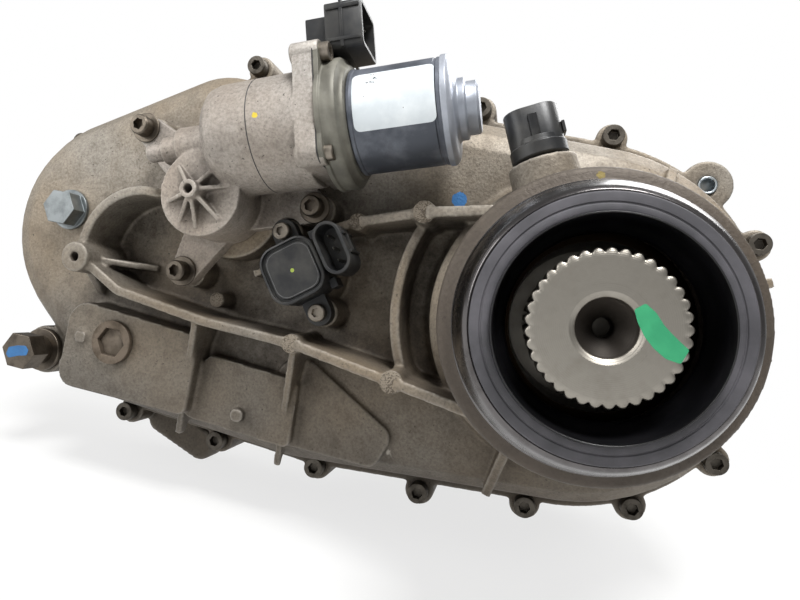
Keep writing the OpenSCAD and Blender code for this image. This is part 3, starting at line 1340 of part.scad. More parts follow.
front_case();
rear_case();
case_bolts();
big_lug_bush();
fill_plug();
drain_plug();
ear_bolt();
ear_washer();
rear_seal();
yoke_bushing();
input_seal();
front_output_seal();
outer_races();
bearing_balls();
ring_gear();
fork_rail();
actuator_housing();
actuator_screws();
motor_bell();
motor_can();
motor_magnets();
motor_end_cap();
motor_connector();
position_sensor();
sensor_screws();
speed_sensor();
main_shaft();
main_races();
tone_ring();
friction_plates();
input_shaft();
input_race();
pilot_bush();
planet_carrier();
planet_gear_1();
planet_gear_2();
planet_gear_3();
range_sleeve();
range_fork();
shift_shaft();
cam_drum();
worm_wheel();
position_gear();
motor_armature();
sensor_rotor();
drive_sprocket();
steel_plates();
front_output_shaft();
driven_sprocket();
front_races();
companion_flange();
flange_nut();
silent_chain();
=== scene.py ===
# %% [markdown]
# # Dressing a transfer case
# The solids of this gearbox come from the CAD frame, one object for each piece of metal,
# rubber or plastic. Here they get the finish of the real ones: dusty die-cast aluminium,
# turned steel, black paint and moulded nylon. Blender adds only what the solids leave out.

# %% Load the frame
import math
import bmesh
import bpy
from mathutils import Matrix, Vector


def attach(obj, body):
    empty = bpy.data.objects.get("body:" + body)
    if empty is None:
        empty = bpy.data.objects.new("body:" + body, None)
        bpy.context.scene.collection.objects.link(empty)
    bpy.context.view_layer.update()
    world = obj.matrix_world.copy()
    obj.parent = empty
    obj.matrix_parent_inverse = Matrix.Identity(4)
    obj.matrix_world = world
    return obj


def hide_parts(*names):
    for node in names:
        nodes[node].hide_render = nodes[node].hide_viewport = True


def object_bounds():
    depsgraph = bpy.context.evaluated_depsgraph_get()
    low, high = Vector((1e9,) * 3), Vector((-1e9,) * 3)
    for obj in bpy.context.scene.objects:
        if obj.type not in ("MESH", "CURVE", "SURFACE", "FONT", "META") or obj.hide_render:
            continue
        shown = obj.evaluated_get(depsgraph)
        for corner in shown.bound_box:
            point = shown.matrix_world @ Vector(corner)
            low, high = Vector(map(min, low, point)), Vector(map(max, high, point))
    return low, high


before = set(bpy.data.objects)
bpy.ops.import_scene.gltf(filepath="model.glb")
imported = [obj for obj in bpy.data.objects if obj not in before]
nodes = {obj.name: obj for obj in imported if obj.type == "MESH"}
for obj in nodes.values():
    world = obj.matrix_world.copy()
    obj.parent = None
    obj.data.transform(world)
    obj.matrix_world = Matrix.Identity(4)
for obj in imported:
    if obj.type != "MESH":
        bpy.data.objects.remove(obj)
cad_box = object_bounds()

# %% [markdown]
# Lengths in a workshop are millimetres and Blender's are metres, so one number turns the
# first into the second. Behind the mounting face the case runs along -Y. On the bench a point
# is measured with x to the right, y up and z backwards from that face. stand() takes a shape
# that is drawn upright at the origin and puts it where it belongs on the case. The motor lies
# on a slope above the shift axis, so its shapes are drawn along one line and laid down once.

# %% Bench frame
MM = 0.001
shift_axis = (-149.075, 21.5)
left_axis_x = -219.075
tail_face = 258.0
motor_plane, motor_slope = 198, 15.4
worm_distance, motor_offset = 20.6, 17


def stand(x, y, z, turn=0.0):
    """Places a shape that is drawn upright at the origin: turned by turn degrees, then moved."""
    bench_to_scene = Matrix(((1, 0, 0, 0), (0, 0, -1, 0), (0, 1, 0, 0), (0, 0, 0, 1)))
    return (Matrix.Scale(MM, 4) @ bench_to_scene @ Matrix.Translation((x, y, z))
            @ Matrix.Rotation(math.radians(turn), 4, "Z"))


slope_x, slope_y = math.cos(math.radians(motor_slope)), math.sin(math.radians(motor_slope))
motor_start = (shift_axis[0] + motor_offset * slope_x - worm_distance * slope_y,
               shift_axis[1] + motor_offset * slope_y + worm_distance * slope_x)
on_main_axis = stand(0, 0, 0)
along_motor = stand(*motor_start, motor_plane, motor_slope) @ Matrix.Rotation(math.radians(90), 4, "Y")
print("motor axis starts at", [round(v, 1) for v in motor_start])

# %% [markdown]
# Colours are written as they look on a screen, in hex, and a shader wants them linear.
# One function turns them. A second one adds a node with its settings and its links,
# which keeps each material readable as a list of what it does.

# %% Colour and node helpers
def linear(code):
    """sRGB hex to linear red, green, blue and alpha."""
    parts = [int(code[i:i + 2], 16) / 255 for i in (1, 3, 5)]
    return [c / 12.92 if c <= 0.04045 else ((c + 0.055) / 1.055) ** 2.4 for c in parts] + [1.0]


def add(tree, kind, inputs=None, **settings):
    """Adds a shader node, sets it up and links what is given as a socket."""
    node = tree.nodes.new("ShaderNode" + kind)
    for key, value in settings.items():
        setattr(node, key, value)
    for key, value in (inputs or {}).items():
        if isinstance(value, bpy.types.NodeSocket):
            tree.links.new(value, node.inputs[key])
        else:
            node.inputs[key].default_value = value
    return node


def new_material(name):
    """A material with its tree, and Object coordinates counted in millimetres."""
    material = bpy.data.materials.new(name)
    material.use_nodes = True
    tree = material.node_tree
    tree.nodes.clear()
    place = add(tree, "TexCoord").outputs["Object"]
    scaled = add(tree, "Mapping", {"Vector": place, "Scale": (1 / MM, 1 / MM, 1 / MM)})
    return material, tree, scaled.outputs["Vector"]


def finish_with(tree, color, roughness, metallic, normal):
    """Ends a material in a Principled shader."""
    shader = add(tree, "BsdfPrincipled", {"Base Color": color, "Roughness": roughness,
                                          "Metallic": metallic, "Normal": normal})
    add(tree, "OutputMaterial", {"Surface": shader.outputs["BSDF"]})


print("linear mid grey:", round(linear("#808080")[0], 3))

# %% [markdown]
# ## Die-cast aluminium
# The case is die-cast aluminium that has seen a dusty road. Fresh from the die it is grey
# with a fine pebbled skin. Use leaves tan dust in broad drifts, darker dirt in patches and
# corners, and bare metal where edges are rubbed. The corners also get painted shade, and the
# lower part of the case is painted darker as shade. The sizes of these marks are measured in
# millimetres, and a fitter's dots of paint are listed as x, y and radius on the rear wall.

# %% Marks on the cast skin
paint_dots = {
    "#c9b23c": [(-6.7, 41.6, 1.1), (-124.4, 50.3, 1.1)],
    "#3f77b0": [(-54.2, 41.4, 3.2), (-72.4, -0.8, 1.5)],
}
# The dark brown serves the specks of dirt, the dirt and painted shade in corners, and the painted shade
# low on the case. The near black inside the bore is oil with painted shade.
bare_alloy, dirt_and_shade_brown, bore_oil_and_shade, collar_dark_brown = "#c4bfb6", "#2e2721", "#100e0c", "#3a322c"
bore_reach, collar_reach, collar_start, collar_fade = 33.0, 45.5, -203.0, 14
drift_size, patch_size, skin_size, speck_size = 60, 9, 1.1, 1.3
corner_reach, rear_face_y, ragged_edge = 26, -150.0, 1.6
print(sum(len(dots) for dots in paint_dots.values()), "dots of paint on the rear wall")

# %% [markdown]
# The layers are laid over the clean alloy one after the other, the dirt as it came on the road.
# Noise at the real sizes places the drifts and patches, ambient occlusion finds the corners for
# dirt and painted shade, Pointiness the edges, and a ramp on height paints shade low down. The dots
# of paint lie on top. Inside the seal's bore the skin is glossy with oil and near black as painted
# shade, and the tail's collar is a darker brown.

# %% Cast aluminium
def cast_aluminium(name, clean, dust, grime, bottom_shade, collar=0.0):
    """Cast skin: dusted in broad drifts, grimed and painted with shade in its corners, painted darker low
    down by bottom_shade, rubbed bare along its edges.
    """
    material, tree, place = new_material(name)
    broad = add(tree, "TexNoise", {"Vector": place, "Scale": 1 / drift_size, "Detail": 4.0,
                                   "Roughness": 0.5})
    patches = add(tree, "TexNoise", {"Vector": place, "Scale": 1 / patch_size, "Detail": 7.0,
                                     "Roughness": 0.72})
    skin = add(tree, "TexNoise", {"Vector": place, "Scale": 1 / skin_size, "Detail": 5.0,
                                  "Roughness": 0.65})
    specks = add(tree, "TexNoise", {"Vector": place, "Scale": 1 / speck_size, "Detail": 2.0})
    point = add(tree, "NewGeometry").outputs["Pointiness"]
    edge = add(tree, "MapRange", {"Value": point, "From Min": 0.515, "From Max": 0.6})
    corner = add(tree, "AmbientOcclusion", {"Distance": corner_reach * MM}, samples=5, only_local=True)
    hollow = add(tree, "MapRange", {"Value": corner.outputs["AO"], "From Min": 0.4, "From Max": 0.95,
                                    "To Min": 1.0, "To Max": 0.0})
    axes = add(tree, "SeparateXYZ", {"Vector": place})
    # Painted shade: a ramp on height darkens the lower part of the case, where shade falls under light
    # from above.
    low = add(tree, "MapRange", {"Value": axes.outputs["Z"], "From Min": -80.0, "From Max": 10.0,
                                 "To Min": bottom_shade, "To Max": 0.0})
    dusty = add(tree, "MapRange", {"Value": broad.outputs["Fac"], "From Min": 0.35, "From Max": 0.65})
    grain = add(tree, "MapRange", {"Value": skin.outputs["Fac"], "From Min": 0.4, "From Max": 0.7,
                                   "To Max": 0.5})
    stained = add(tree, "MapRange", {"Value": patches.outputs["Fac"], "From Min": 0.48, "From Max": 0.75,
                                     "To Max": 0.45})
    speck = add(tree, "MapRange", {"Value": specks.outputs["Fac"], "From Min": 0.68, "From Max": 0.74,
                                   "To Max": 0.7})
    # Dirt and painted shade in the corners: ambient occlusion darkens the hollows where shade falls,
    # mixed with the patches of dirt.
    caked_and_shaded = add(tree, "Math", {0: hollow.outputs["Result"], 1: patches.outputs["Fac"]},
                operation="MULTIPLY")
    caked_and_shaded = add(tree, "Math", {0: caked_and_shaded.outputs[0], 1: 1.25}, operation="MULTIPLY", use_clamp=True)
    rubbed = add(tree, "Math", {0: edge.outputs["Result"], 1: 0.5}, operation="MULTIPLY")
    layers = [(dusty.outputs["Result"], dust), (grain.outputs["Result"], grime),
              (stained.outputs["Result"], grime), (speck.outputs["Result"], dirt_and_shade_brown),
              (caked_and_shaded.outputs[0], dirt_and_shade_brown), (low.outputs["Result"], dirt_and_shade_brown),
              (rubbed.outputs[0], bare_alloy)]
    flat = add(tree, "CombineXYZ", {"X": axes.outputs["X"], "Z": axes.outputs["Z"]}).outputs["Vector"]
    behind = add(tree, "Math", {0: axes.outputs["Y"], 1: rear_face_y}, operation="LESS_THAN")
    for code, dots in paint_dots.items():
        for x, y, radius in dots:
            away = add(tree, "VectorMath", {0: flat, 1: (x, 0, y)}, operation="DISTANCE")
            ragged = add(tree, "Math", {0: skin.outputs["Fac"], 1: ragged_edge, 2: away.outputs["Value"]},
                         operation="MULTIPLY_ADD")
            mark = add(tree, "Math", {0: ragged.outputs[0], 1: radius + ragged_edge / 2},
                       operation="LESS_THAN")
            mark = add(tree, "Math", {0: mark.outputs[0], 1: behind.outputs[0]}, operation="MULTIPLY")
            layers.append((mark.outputs[0], code))
    # Painted shade inside the bore: within bore_reach of the main axis the skin turns near black, the
    # shade of the deep bore, and glossy with oil.
    reach = add(tree, "VectorMath", {0: flat}, operation="LENGTH").outputs["Value"]
    oily_and_painted_dark = add(tree, "MapRange", {"Value": reach, "From Min": bore_reach, "From Max": bore_reach + 0.3,
                                  "To Min": 1.0, "To Max": 0.0})
    layers.append((oily_and_painted_dark.outputs["Result"], bore_oil_and_shade))
    # The tail's collar is mixed towards a darker brown, more so towards the end of the tail.
    if collar:
        near = add(tree, "Math", {0: reach, 1: collar_reach}, operation="LESS_THAN")
        far = add(tree, "MapRange", {"Value": axes.outputs["Y"], "From Min": collar_start,
                                     "From Max": collar_start - collar_fade, "To Max": collar})
        far = add(tree, "Math", {0: far.outputs["Result"], 1: near.outputs[0]}, operation="MULTIPLY")
        layers.append((far.outputs[0], collar_dark_brown))
    color = linear(clean)
    for mask, code in layers:
        color = add(tree, "Mix", {0: mask, 6: color, 7: linear(code)}, data_type="RGBA").outputs[2]
    rough = add(tree, "MapRange", {"Value": patches.outputs["Fac"], "To Min": 0.42, "To Max": 0.72})
    rough = add(tree, "Mix", {0: oily_and_painted_dark.outputs["Result"], 2: rough.outputs["Result"], 3: 0.22})
    shiny = add(tree, "MapRange", {"Value": dusty.outputs["Result"], "To Min": 0.6, "To Max": 0.2})
    bump = add(tree, "Bump", {"Height": skin.outputs["Fac"], "Strength": 0.6, "Distance": 0.4 * MM})
    bump = add(tree, "Bump", {"Height": patches.outputs["Fac"], "Strength": 0.25, "Distance": 0.5 * MM,
                              "Normal": bump.outputs["Normal"]})
    finish_with(tree, color, rough.outputs[0], shiny.outputs["Result"], bump.outputs["Normal"])
    return material


case_skin = cast_aluminium("die-cast aluminium, dusty", "#948e84", "#8b7d69", "#4a4036", 0.62, 0.8)
cover_skin = cast_aluminium("die-cast aluminium, actuator", "#aba6a0", "#978c80", "#5a5148", 0.0)
print(case_skin.name, "and", cover_skin.name)

# %% [markdown]
# ## Turned and ground steel
# A lathe leaves fine rings round the axis of a shaft. The main shaft lies on the Y axis, so a
# Wave texture in rings round Y follows it. On bolts and plugs the same lines pass as straight
# tool marks. Broad noise then lays oil and dust over the bright metal.

# %% Turned metals
wave_scale, stain_size, cut_depth = 0.314, 7, 0.05


def turned_metal(name, light, dark, roughness, ring=0.5, stain=0.35):
    """Bare metal with tool rings ring mm apart, dulled in spots by a share of stain."""
    material, tree, place = new_material(name)
    rings = add(tree, "TexWave", {"Vector": place, "Scale": wave_scale / ring,
                                  "Distortion": 0.6, "Detail": 2.0},
                wave_type="RINGS", rings_direction="Y")
    stains = add(tree, "TexNoise", {"Vector": place, "Scale": 1 / stain_size, "Detail": 6.0,
                                    "Roughness": 0.65})
    spots = add(tree, "MapRange", {"Value": stains.outputs["Fac"], "From Min": 0.45, "From Max": 0.75,
                                   "To Max": stain})
    color = add(tree, "Mix", {0: spots.outputs["Result"], 6: linear(light), 7: linear(dark)},
                data_type="RGBA")
    rough = add(tree, "MapRange", {"Value": stains.outputs["Fac"], "To Min": roughness - 0.08,
                                   "To Max": roughness + 0.16})
    bump = add(tree, "Bump", {"Height": rings.outputs["Fac"], "Strength": 0.2,
                              "Distance": cut_depth * MM})
    finish_with(tree, color.outputs[2], rough.outputs["Result"], 1.0, bump.outputs["Normal"])
    return material


shaft_steel = turned_metal("hardened steel, turned", "#a09b92", "#645e55", 0.38)
bore_steel = turned_metal("hardened steel, oiled bore", "#6a6560", "#37332f", 0.34)
race_steel = turned_metal("bearing steel, ground", "#d2d3d4", "#8d8d8c", 0.2, ring=0.3)
gear_steel = turned_metal("gear steel, case-hardened", "#8f9194", "#4f4d4a", 0.38, stain=0.5)
# The bushes sit deep in the tail, so their bronze is coloured near black as painted shade, darker than
# oiled bronze.
bronze = turned_metal("sintered bronze, oiled", "#1f170e", "#0b0805", 0.3, stain=0.9)
zinc = turned_metal("zinc-plated steel", "#b9c0c4", "#7c8387", 0.34, ring=0.4)
bolt_steel = turned_metal("steel, dirty phosphate", "#625d56", "#2c2823", 0.5, ring=0.4, stain=0.9)
plug_steel = turned_metal("zinc-plated steel, dulled", "#8a8f90", "#565b5d", 0.46, ring=0.4, stain=0.7)
drain_steel = turned_metal("steel, caked in dust", "#7b7064", "#4a4136", 0.66, ring=0.4, stain=0.9)
head_steel = turned_metal("steel, oiled and dusty", "#6d655b", "#302b26", 0.42, ring=0.4, stain=0.9)
screw_steel = turned_metal("steel, dusty zinc", "#948c81", "#4a443d", 0.4, ring=0.4, stain=0.8)
# The nose band is coloured dark grey as a painted reflection of a dark surround, in place of the bright
# silver that turned aluminium shows in white light.
machined_band = turned_metal("aluminium, turned and oily", "#6b6868", "#3a3634", 0.22, ring=0.45,
                             stain=0.7)
print("turned metals ready")

# %% [markdown]
# ## Paint, rubber, nylon and lining
# The motor can has a thin dark electro-dipped coat that shows the steel's dullness. The
# plugs are glass-filled nylon, with a faint grain. Seals are nitrile rubber, a dull black
# with a grey bloom, and the clutch lining is paper soaked in resin. One recipe serves them all:
# a dark and a light tone mixed in broad blooms, a fine grain, and specks where the coat is worn.

# %% Coats and polymers
bloom_size = 14


def coated(name, light, dark, roughness, grain, depth, metallic=0.0, dust=0.2, specks=0.0,
           speck_tone="#3c4148", speck_grain=0.9):
    """A coat, a moulded skin or dirt, with a grain of the given size and depth in mm."""
    material, tree, place = new_material(name)
    fine = add(tree, "TexNoise", {"Vector": place, "Scale": 1 / grain, "Detail": 3.0})
    broad = add(tree, "TexNoise", {"Vector": place, "Scale": 1 / bloom_size, "Detail": 5.0,
                                   "Roughness": 0.6})
    bloom = add(tree, "MapRange", {"Value": broad.outputs["Fac"], "From Min": 0.42, "From Max": 0.72,
                                   "To Max": dust})
    color = add(tree, "Mix", {0: bloom.outputs["Result"], 6: linear(dark), 7: linear(light)},
                data_type="RGBA")
    if specks:
        dots = add(tree, "TexNoise", {"Vector": place, "Scale": 1 / speck_grain, "Detail": 2.0})
        worn = add(tree, "Math", {0: dots.outputs["Fac"], 1: broad.outputs["Fac"]},
                   operation="MULTIPLY")
        seen = add(tree, "Math", {0: worn.outputs[0], 1: specks}, operation="GREATER_THAN")
        color = add(tree, "Mix", {0: seen.outputs[0], 6: color.outputs[2], 7: linear(speck_tone)},
                    data_type="RGBA")
    rough = add(tree, "MapRange", {"Value": broad.outputs["Fac"], "To Min": roughness - 0.06,
                                   "To Max": roughness + 0.14})
    bump = add(tree, "Bump", {"Height": fine.outputs["Fac"], "Strength": 0.3, "Distance": depth * MM})
    finish_with(tree, color.outputs[2], rough.outputs["Result"], metallic, bump.outputs["Normal"])
    return material


cap_coat = coated("zinc on steel, pressed", "#c3c7d0", "#9a9fa8", 0.36, 1.4, 0.03, 0.6, 0.6)
bell_coat = coated("die-cast zinc, dusty", "#8d8b80", "#615f57", 0.52, 1.1, 0.12, 0.45, 0.8)
foil_skin = coated("blank aluminium foil", "#e6ebed", "#cdd4d8", 0.32, 0.7, 0.02, 0.2, 0.9,
                   specks=0.415)
stippled = coated("die-cast aluminium, rough print", "#968c7e", "#7b7265", 0.7, 0.5, 0.8, 0.3, 0.8,
                  specks=0.25, speck_tone="#544b40", speck_grain=0.45)
packed_dirt = coated("packed road dirt", "#7b7064", "#4a4136", 0.85, 0.7, 0.5, dust=0.9)
potting = coated("epoxy potting", "#737373", "#565656", 0.6, 0.9, 0.08, dust=0.7)
green_paint = coated("green marking paint", "#3fa873", "#25845a", 0.45, 1.0, 0.05, dust=0.7)
yellow_paint = coated("yellow marking paint", "#a9b04a", "#7f9638", 0.45, 1.0, 0.05, dust=0.7)
blue_paint = coated("blue marking paint", "#2f74ad", "#1f5687", 0.45, 1.0, 0.05, dust=0.7)
contact_pin = coated("tinned contact", "#d9d7cf", "#a5a29a", 0.25, 1.0, 0.01, 1.0, 0.5)
can_coat = coated("electrocoat on steel, worn", "#7d818a", "#4c5058", 0.4, 1.2, 0.06, 0.5, 0.8)
nylon = coated("glass-filled nylon, black", "#4a4843", "#17181a", 0.38, 0.8, 0.08, dust=0.6)
rubber = coated("nitrile rubber", "#4b4845", "#1b1b1d", 0.55, 1.0, 0.08, dust=0.6)
wet_rubber = coated("nitrile rubber, oily", "#141316", "#08080a", 0.3, 1.0, 0.05, dust=0.5)
seal_face = coated("rubber-coated steel, bloomed", "#57555a", "#3b3a3e", 0.62, 1.6, 0.06, dust=0.8)
white_nylon = coated("nylon, natural", "#e4dcc4", "#c9bf9f", 0.42, 1.0, 0.04, dust=0.8)
lining = coated("resin-bonded paper lining", "#8b6f4f", "#54402c", 0.8, 0.7, 0.15, dust=0.9)
ferrite = coated("ferrite magnet", "#57575a", "#2c2c2e", 0.6, 0.6, 0.1, dust=0.7)
iron = coated("cast iron, machined", "#8d8377", "#57504a", 0.48, 1.1, 0.12, 0.8, 0.8)
windings = coated("enamelled copper wire", "#a2703f", "#5a3a1f", 0.35, 0.9, 0.2, 0.9, 0.8)
print("coats and polymers ready")

# %% [markdown]
# Every solid is one material on the real machine, so one table says which solids share a
# finish. Castings and the fork are aluminium, gears and chain are hardened steel, the bushes
# are bronze that holds oil, and the small gears of the actuator are nylon, which runs quietly.

# %% Give each solid its finish
finishes = {
    case_skin: ["front_case", "rear_case"],
    cover_skin: ["actuator_housing", "range_fork"],
    bolt_steel: ["case_bolts", "actuator_screws"],
    head_steel: ["ear_bolt", "ear_washer"],
    plug_steel: ["fill_plug"],
    drain_steel: ["drain_plug"],
    zinc: ["big_lug_bush", "sensor_screws"],
    rubber: ["rear_seal", "input_seal", "front_output_seal"],
    bronze: ["yoke_bushing", "pilot_bush"],
    race_steel: ["outer_races", "main_races", "input_race", "front_races", "bearing_balls"],
    gear_steel: ["ring_gear", "planet_gear_1", "planet_gear_2", "planet_gear_3", "drive_sprocket",
                 "driven_sprocket", "tone_ring", "range_sleeve", "planet_carrier", "cam_drum",
                 "steel_plates", "silent_chain"],
    shaft_steel: ["main_shaft", "input_shaft", "front_output_shaft", "shift_shaft", "fork_rail"],
    lining: ["friction_plates"],
    iron: ["companion_flange", "flange_nut"],
    can_coat: ["motor_bell", "motor_can", "motor_end_cap"],
    ferrite: ["motor_magnets"],
    windings: ["motor_armature"],
    nylon: ["motor_connector", "position_sensor", "speed_sensor"],
    white_nylon: ["worm_wheel", "position_gear", "sensor_rotor"],
}
for material, names in finishes.items():
    for name in names:
        nodes[name].data.materials.clear()
        nodes[name].data.materials.append(material)
print(sum(len(v) for v in finishes.values()), "solids finished")

# %% [markdown]
# ## Soft casting edges
# A casting has no sharp edge: the die's corners are rounded and the ribs run into the walls
# with fillets. A voxel Remesh turns the exact solid into one even skin, and a Smooth rounds
# every edge and hollow by about the radius that a die maker uses. A Decimate then drops the
# faces that flat walls don't need. All three stay live, so the exact solid is still below them.

# %% Round the castings
def soften(node, voxel, steps, keep):
    """Gives a CAD solid the rounded edges of a casting, with live modifiers."""
    skin = node.modifiers.new("skin", "REMESH")
    skin.mode = "VOXEL"
    skin.voxel_size = voxel * MM
    skin.use_smooth_shade = True
    ease = node.modifiers.new("ease", "SMOOTH")
    ease.factor = 0.5
    ease.iterations = steps
    thin = node.modifiers.new("thin", "DECIMATE")
    thin.ratio = keep


castings = {"rear_case": (0.75, 4, 0.22), "front_case": (1.2, 3, 0.3), "actuator_housing": (0.5, 3, 0.45)}
for name, (voxel, steps, keep) in castings.items():
    soften(nodes[name], voxel, steps, keep)
graph = bpy.context.evaluated_depsgraph_get()
for name in castings:
    print(name, len(nodes[name].evaluated_get(graph).data.polygons), "faces")

# %% [markdown]
# Bolts, plugs and gears are cut or forged, so their edges are only broken by a fraction of a
# millimetre. A Weld joins the loose triangles of the CAD solid and a small Bevel then rounds
# the sharp edges, which is what makes a bolt head catch the light along its rim.

# %% Break the sharp edges
sharp_angle, weld_reach = 35, 0.002


def break_edges(names, width):
    """Rounds the sharp edges of CAD solids by a width in mm, with live modifiers."""
    for name in names:
        weld = nodes[name].modifiers.new("weld", "WELD")
        weld.merge_threshold = weld_reach * MM
        edge = nodes[name].modifiers.new("edge", "BEVEL")
        edge.width = width * MM
        edge.segments = 2
        edge.use_clamp_overlap = False
        edge.limit_method = "ANGLE"
        edge.angle_limit = math.radians(sharp_angle)
        edge.harden_normals = True


break_edges(["case_bolts", "fill_plug", "drain_plug", "ear_bolt"], 0.35)
break_edges(["ear_washer", "big_lug_bush", "companion_flange", "flange_nut"], 0.4)
break_edges(["main_shaft"], 0.3)
print("edges broken")

# %% [markdown]
# ## New pieces
# A helper turns each finished bmesh into a piece of the object. It puts the shape in its place
# in the mesh itself, closes doubled points, points the faces outwards, hangs it on the part of
# the machine that carries it and hides the CAD solids that it stands for.

# %% Piece helper
def make_piece(name, shape, place, finish, replaced=(), body="case", rim=0.0, sharp=sharp_angle):
    """Turns a shape drawn in mm into a finished piece that rides a body."""
    bmesh.ops.transform(shape, matrix=place, verts=shape.verts)
    bmesh.ops.remove_doubles(shape, verts=shape.verts, dist=1e-6)
    bmesh.ops.recalc_face_normals(shape, faces=shape.faces)
    mesh = bpy.data.meshes.new(name)
    shape.to_mesh(mesh)
    shape.free()
    mesh.materials.append(finish)
    mesh.polygons.foreach_set("use_smooth", [True] * len(mesh.polygons))
    mesh.set_sharp_from_angle(angle=math.radians(sharp))
    piece = bpy.data.objects.new(name, mesh)
    bpy.context.collection.objects.link(piece)
    if rim:
        edge = piece.modifiers.new("edge", "BEVEL")
        edge.width = rim * MM
        edge.segments = 3
        edge.limit_method = "ANGLE"
        edge.angle_limit = math.radians(sharp)
        edge.harden_normals = True
    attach(piece, body)
    if replaced:
        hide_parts(*replaced)
    print(name, len(mesh.polygons), "faces")


print("new pieces bevel edges sharper than", sharp_angle, "degrees")

# %% [markdown]
# Two shapes make nearly all of the new pieces. A round part is spun from its outline, as a lathe
# turns it or a mould forms it. A flat part is a slab with rounded corners, and its top face is
# inset and moved up or down for shoulders, rims and sockets. Shapes that belong to one piece
# are joined into one mesh.

# %% Shape helpers
def spun(outline, steps=128):
    """Spins a closed outline of [radius, height] round the upright axis."""
    shape = bmesh.new()
    corners = [shape.verts.new((r, 0, h)) for r, h in outline]
    edges = [shape.edges.new(pair) for pair in zip(corners, corners[1:] + corners[:1])]
    bmesh.ops.spin(shape, geom=corners + edges, axis=(0, 0, 1), cent=(0, 0, 0),
                   angle=math.tau, steps=steps, use_merge=True)
    bmesh.ops.remove_doubles(shape, verts=shape.verts, dist=0.001)
    return shape


def slab(corners, low, high, rounding=0.0, steps=6):
    """A flat-topped block with the given corners, whose upright edges are rounded."""
    shape = bmesh.new()
    floor_face = shape.faces.new([shape.verts.new((x, y, low)) for x, y in corners])
    grown = bmesh.ops.extrude_face_region(shape, geom=[floor_face])["geom"]
    bmesh.ops.translate(shape, verts=[v for v in grown if isinstance(v, bmesh.types.BMVert)],
                        vec=(0, 0, high - low))
    if rounding:
        upright = [e for e in shape.edges
                   if (e.verts[0].co - e.verts[1].co).xy.length < 0.001]
        bmesh.ops.bevel(shape, geom=upright, offset=rounding, segments=steps, profile=0.5,
                        affect="EDGES", material=-1, offset_type="OFFSET")
    bmesh.ops.recalc_face_normals(shape, faces=shape.faces)
    return shape


def top_face(shape):
    """The highest level face of a shape, which an inset or a socket starts from."""
    level = [f for f in shape.faces if abs(f.normal.z) > 0.99]
    return max(level, key=lambda f: (round(f.calc_center_median().z, 3), f.calc_area()))


def step_in(shape, inset, rise):
    """Insets the top face and moves it up or down, and gives it back."""
    face = top_face(shape)
    bmesh.ops.inset_region(shape, faces=[face], thickness=inset, use_even_offset=True)
    bmesh.ops.translate(shape, verts=face.verts, vec=(0, 0, rise))
    return face


def join(*shapes):
    """Puts several shapes into the first one."""
    whole = shapes[0]
    for extra in shapes[1:]:
        mesh = bpy.data.meshes.new("part")
        extra.to_mesh(mesh)
        extra.free()
        whole.from_mesh(mesh)
        bpy.data.meshes.remove(mesh)
    return whole


def moved(shape, x, y, z):
    """Moves a shape and gives it back."""
    bmesh.ops.translate(shape, verts=shape.verts, vec=(x, y, z))
    return shape


ring = spun([(1, 0), (2, 0), (2, 1), (1, 1)], 8)
print("a square outline spun in 8 steps has", len(ring.faces), "faces")
ring.free()

# %% [markdown]
# ## The tail
# The nose of the tail is turned on a lathe after casting, so that the boot of the propeller
# shaft fits over it. It is one ring with a shoulder, which a full spin of its cross-section
# makes. The oil seal is a pressed steel can coated with rubber: a wide flat rim, then a step
# down to a conical lip that wipes the slip yoke. Spinning is again the natural way. The centre
# bore in the shaft is where the lathe's live centre held it. Each outline is a row of points,
# radius first, then the height behind the mounting face.

# %% Turned nose and oil seal
make_piece("tail_band", spun([
    (33.7, 239.2), (39.6, 239.0), (40.0, 239.4), (40.0, 240.6), (39.7, 241.0), (39.7, 244.2),
    (39.3, 244.6), (38.4, 248.4), (36.0, 254.4), (35.1, 256.0), (34.2, 256.6), (33.7, 256.4)]),
    on_main_axis, machined_band, rim=0.15)
make_piece("tail_seal", spun([
    (32.95, 241.0), (32.95, 256.5), (33.6, 256.5), (33.6, 257.7), (33.3, 258.1), (32.6, 258.2),
    (31.0, 258.25), (30.8, 258.0), (30.5, 258.0), (30.3, 258.3), (28.9, 258.6), (28.3, 258.4),
    (28.2, 257.5), (28.2, 241.0)]),
    on_main_axis, seal_face, replaced=("rear_seal",), rim=0.12)
make_piece("tail_seal_lip", spun([
    (28.25, 243.0), (28.25, 260.4), (28.0, 261.3), (27.7, 261.4), (27.5, 261.0),
    (27.5, 255.0), (27.1, 252.0), (26.6, 250.2), (25.4, 248.6), (24.75, 247.0),
    (24.7, 246.4), (25.4, 245.6), (26.6, 244.6), (27.3, 243.0)]),
    on_main_axis, wet_rubber, rim=0.2)
make_piece("shaft_centre_bore", spun([
    (7.75, 256.6), (7.75, 244.0), (2.6, 244.0), (2.6, 250.5), (3.0, 251.3), (7.2, 256.0),
    (7.5, 256.6)], 64),
    on_main_axis, bore_steel, body="rear_output_train", rim=0.15)

# %% [markdown]
# ## Motor
# The motor can is deep-drawn steel: a thin wall with a rolled bead at each end, where it is
# crimped to the end cap and to the bell. The bell flares out to a flange with four corners,
# which is a slab. All else is round about the motor's axis and spun from its cross-section.

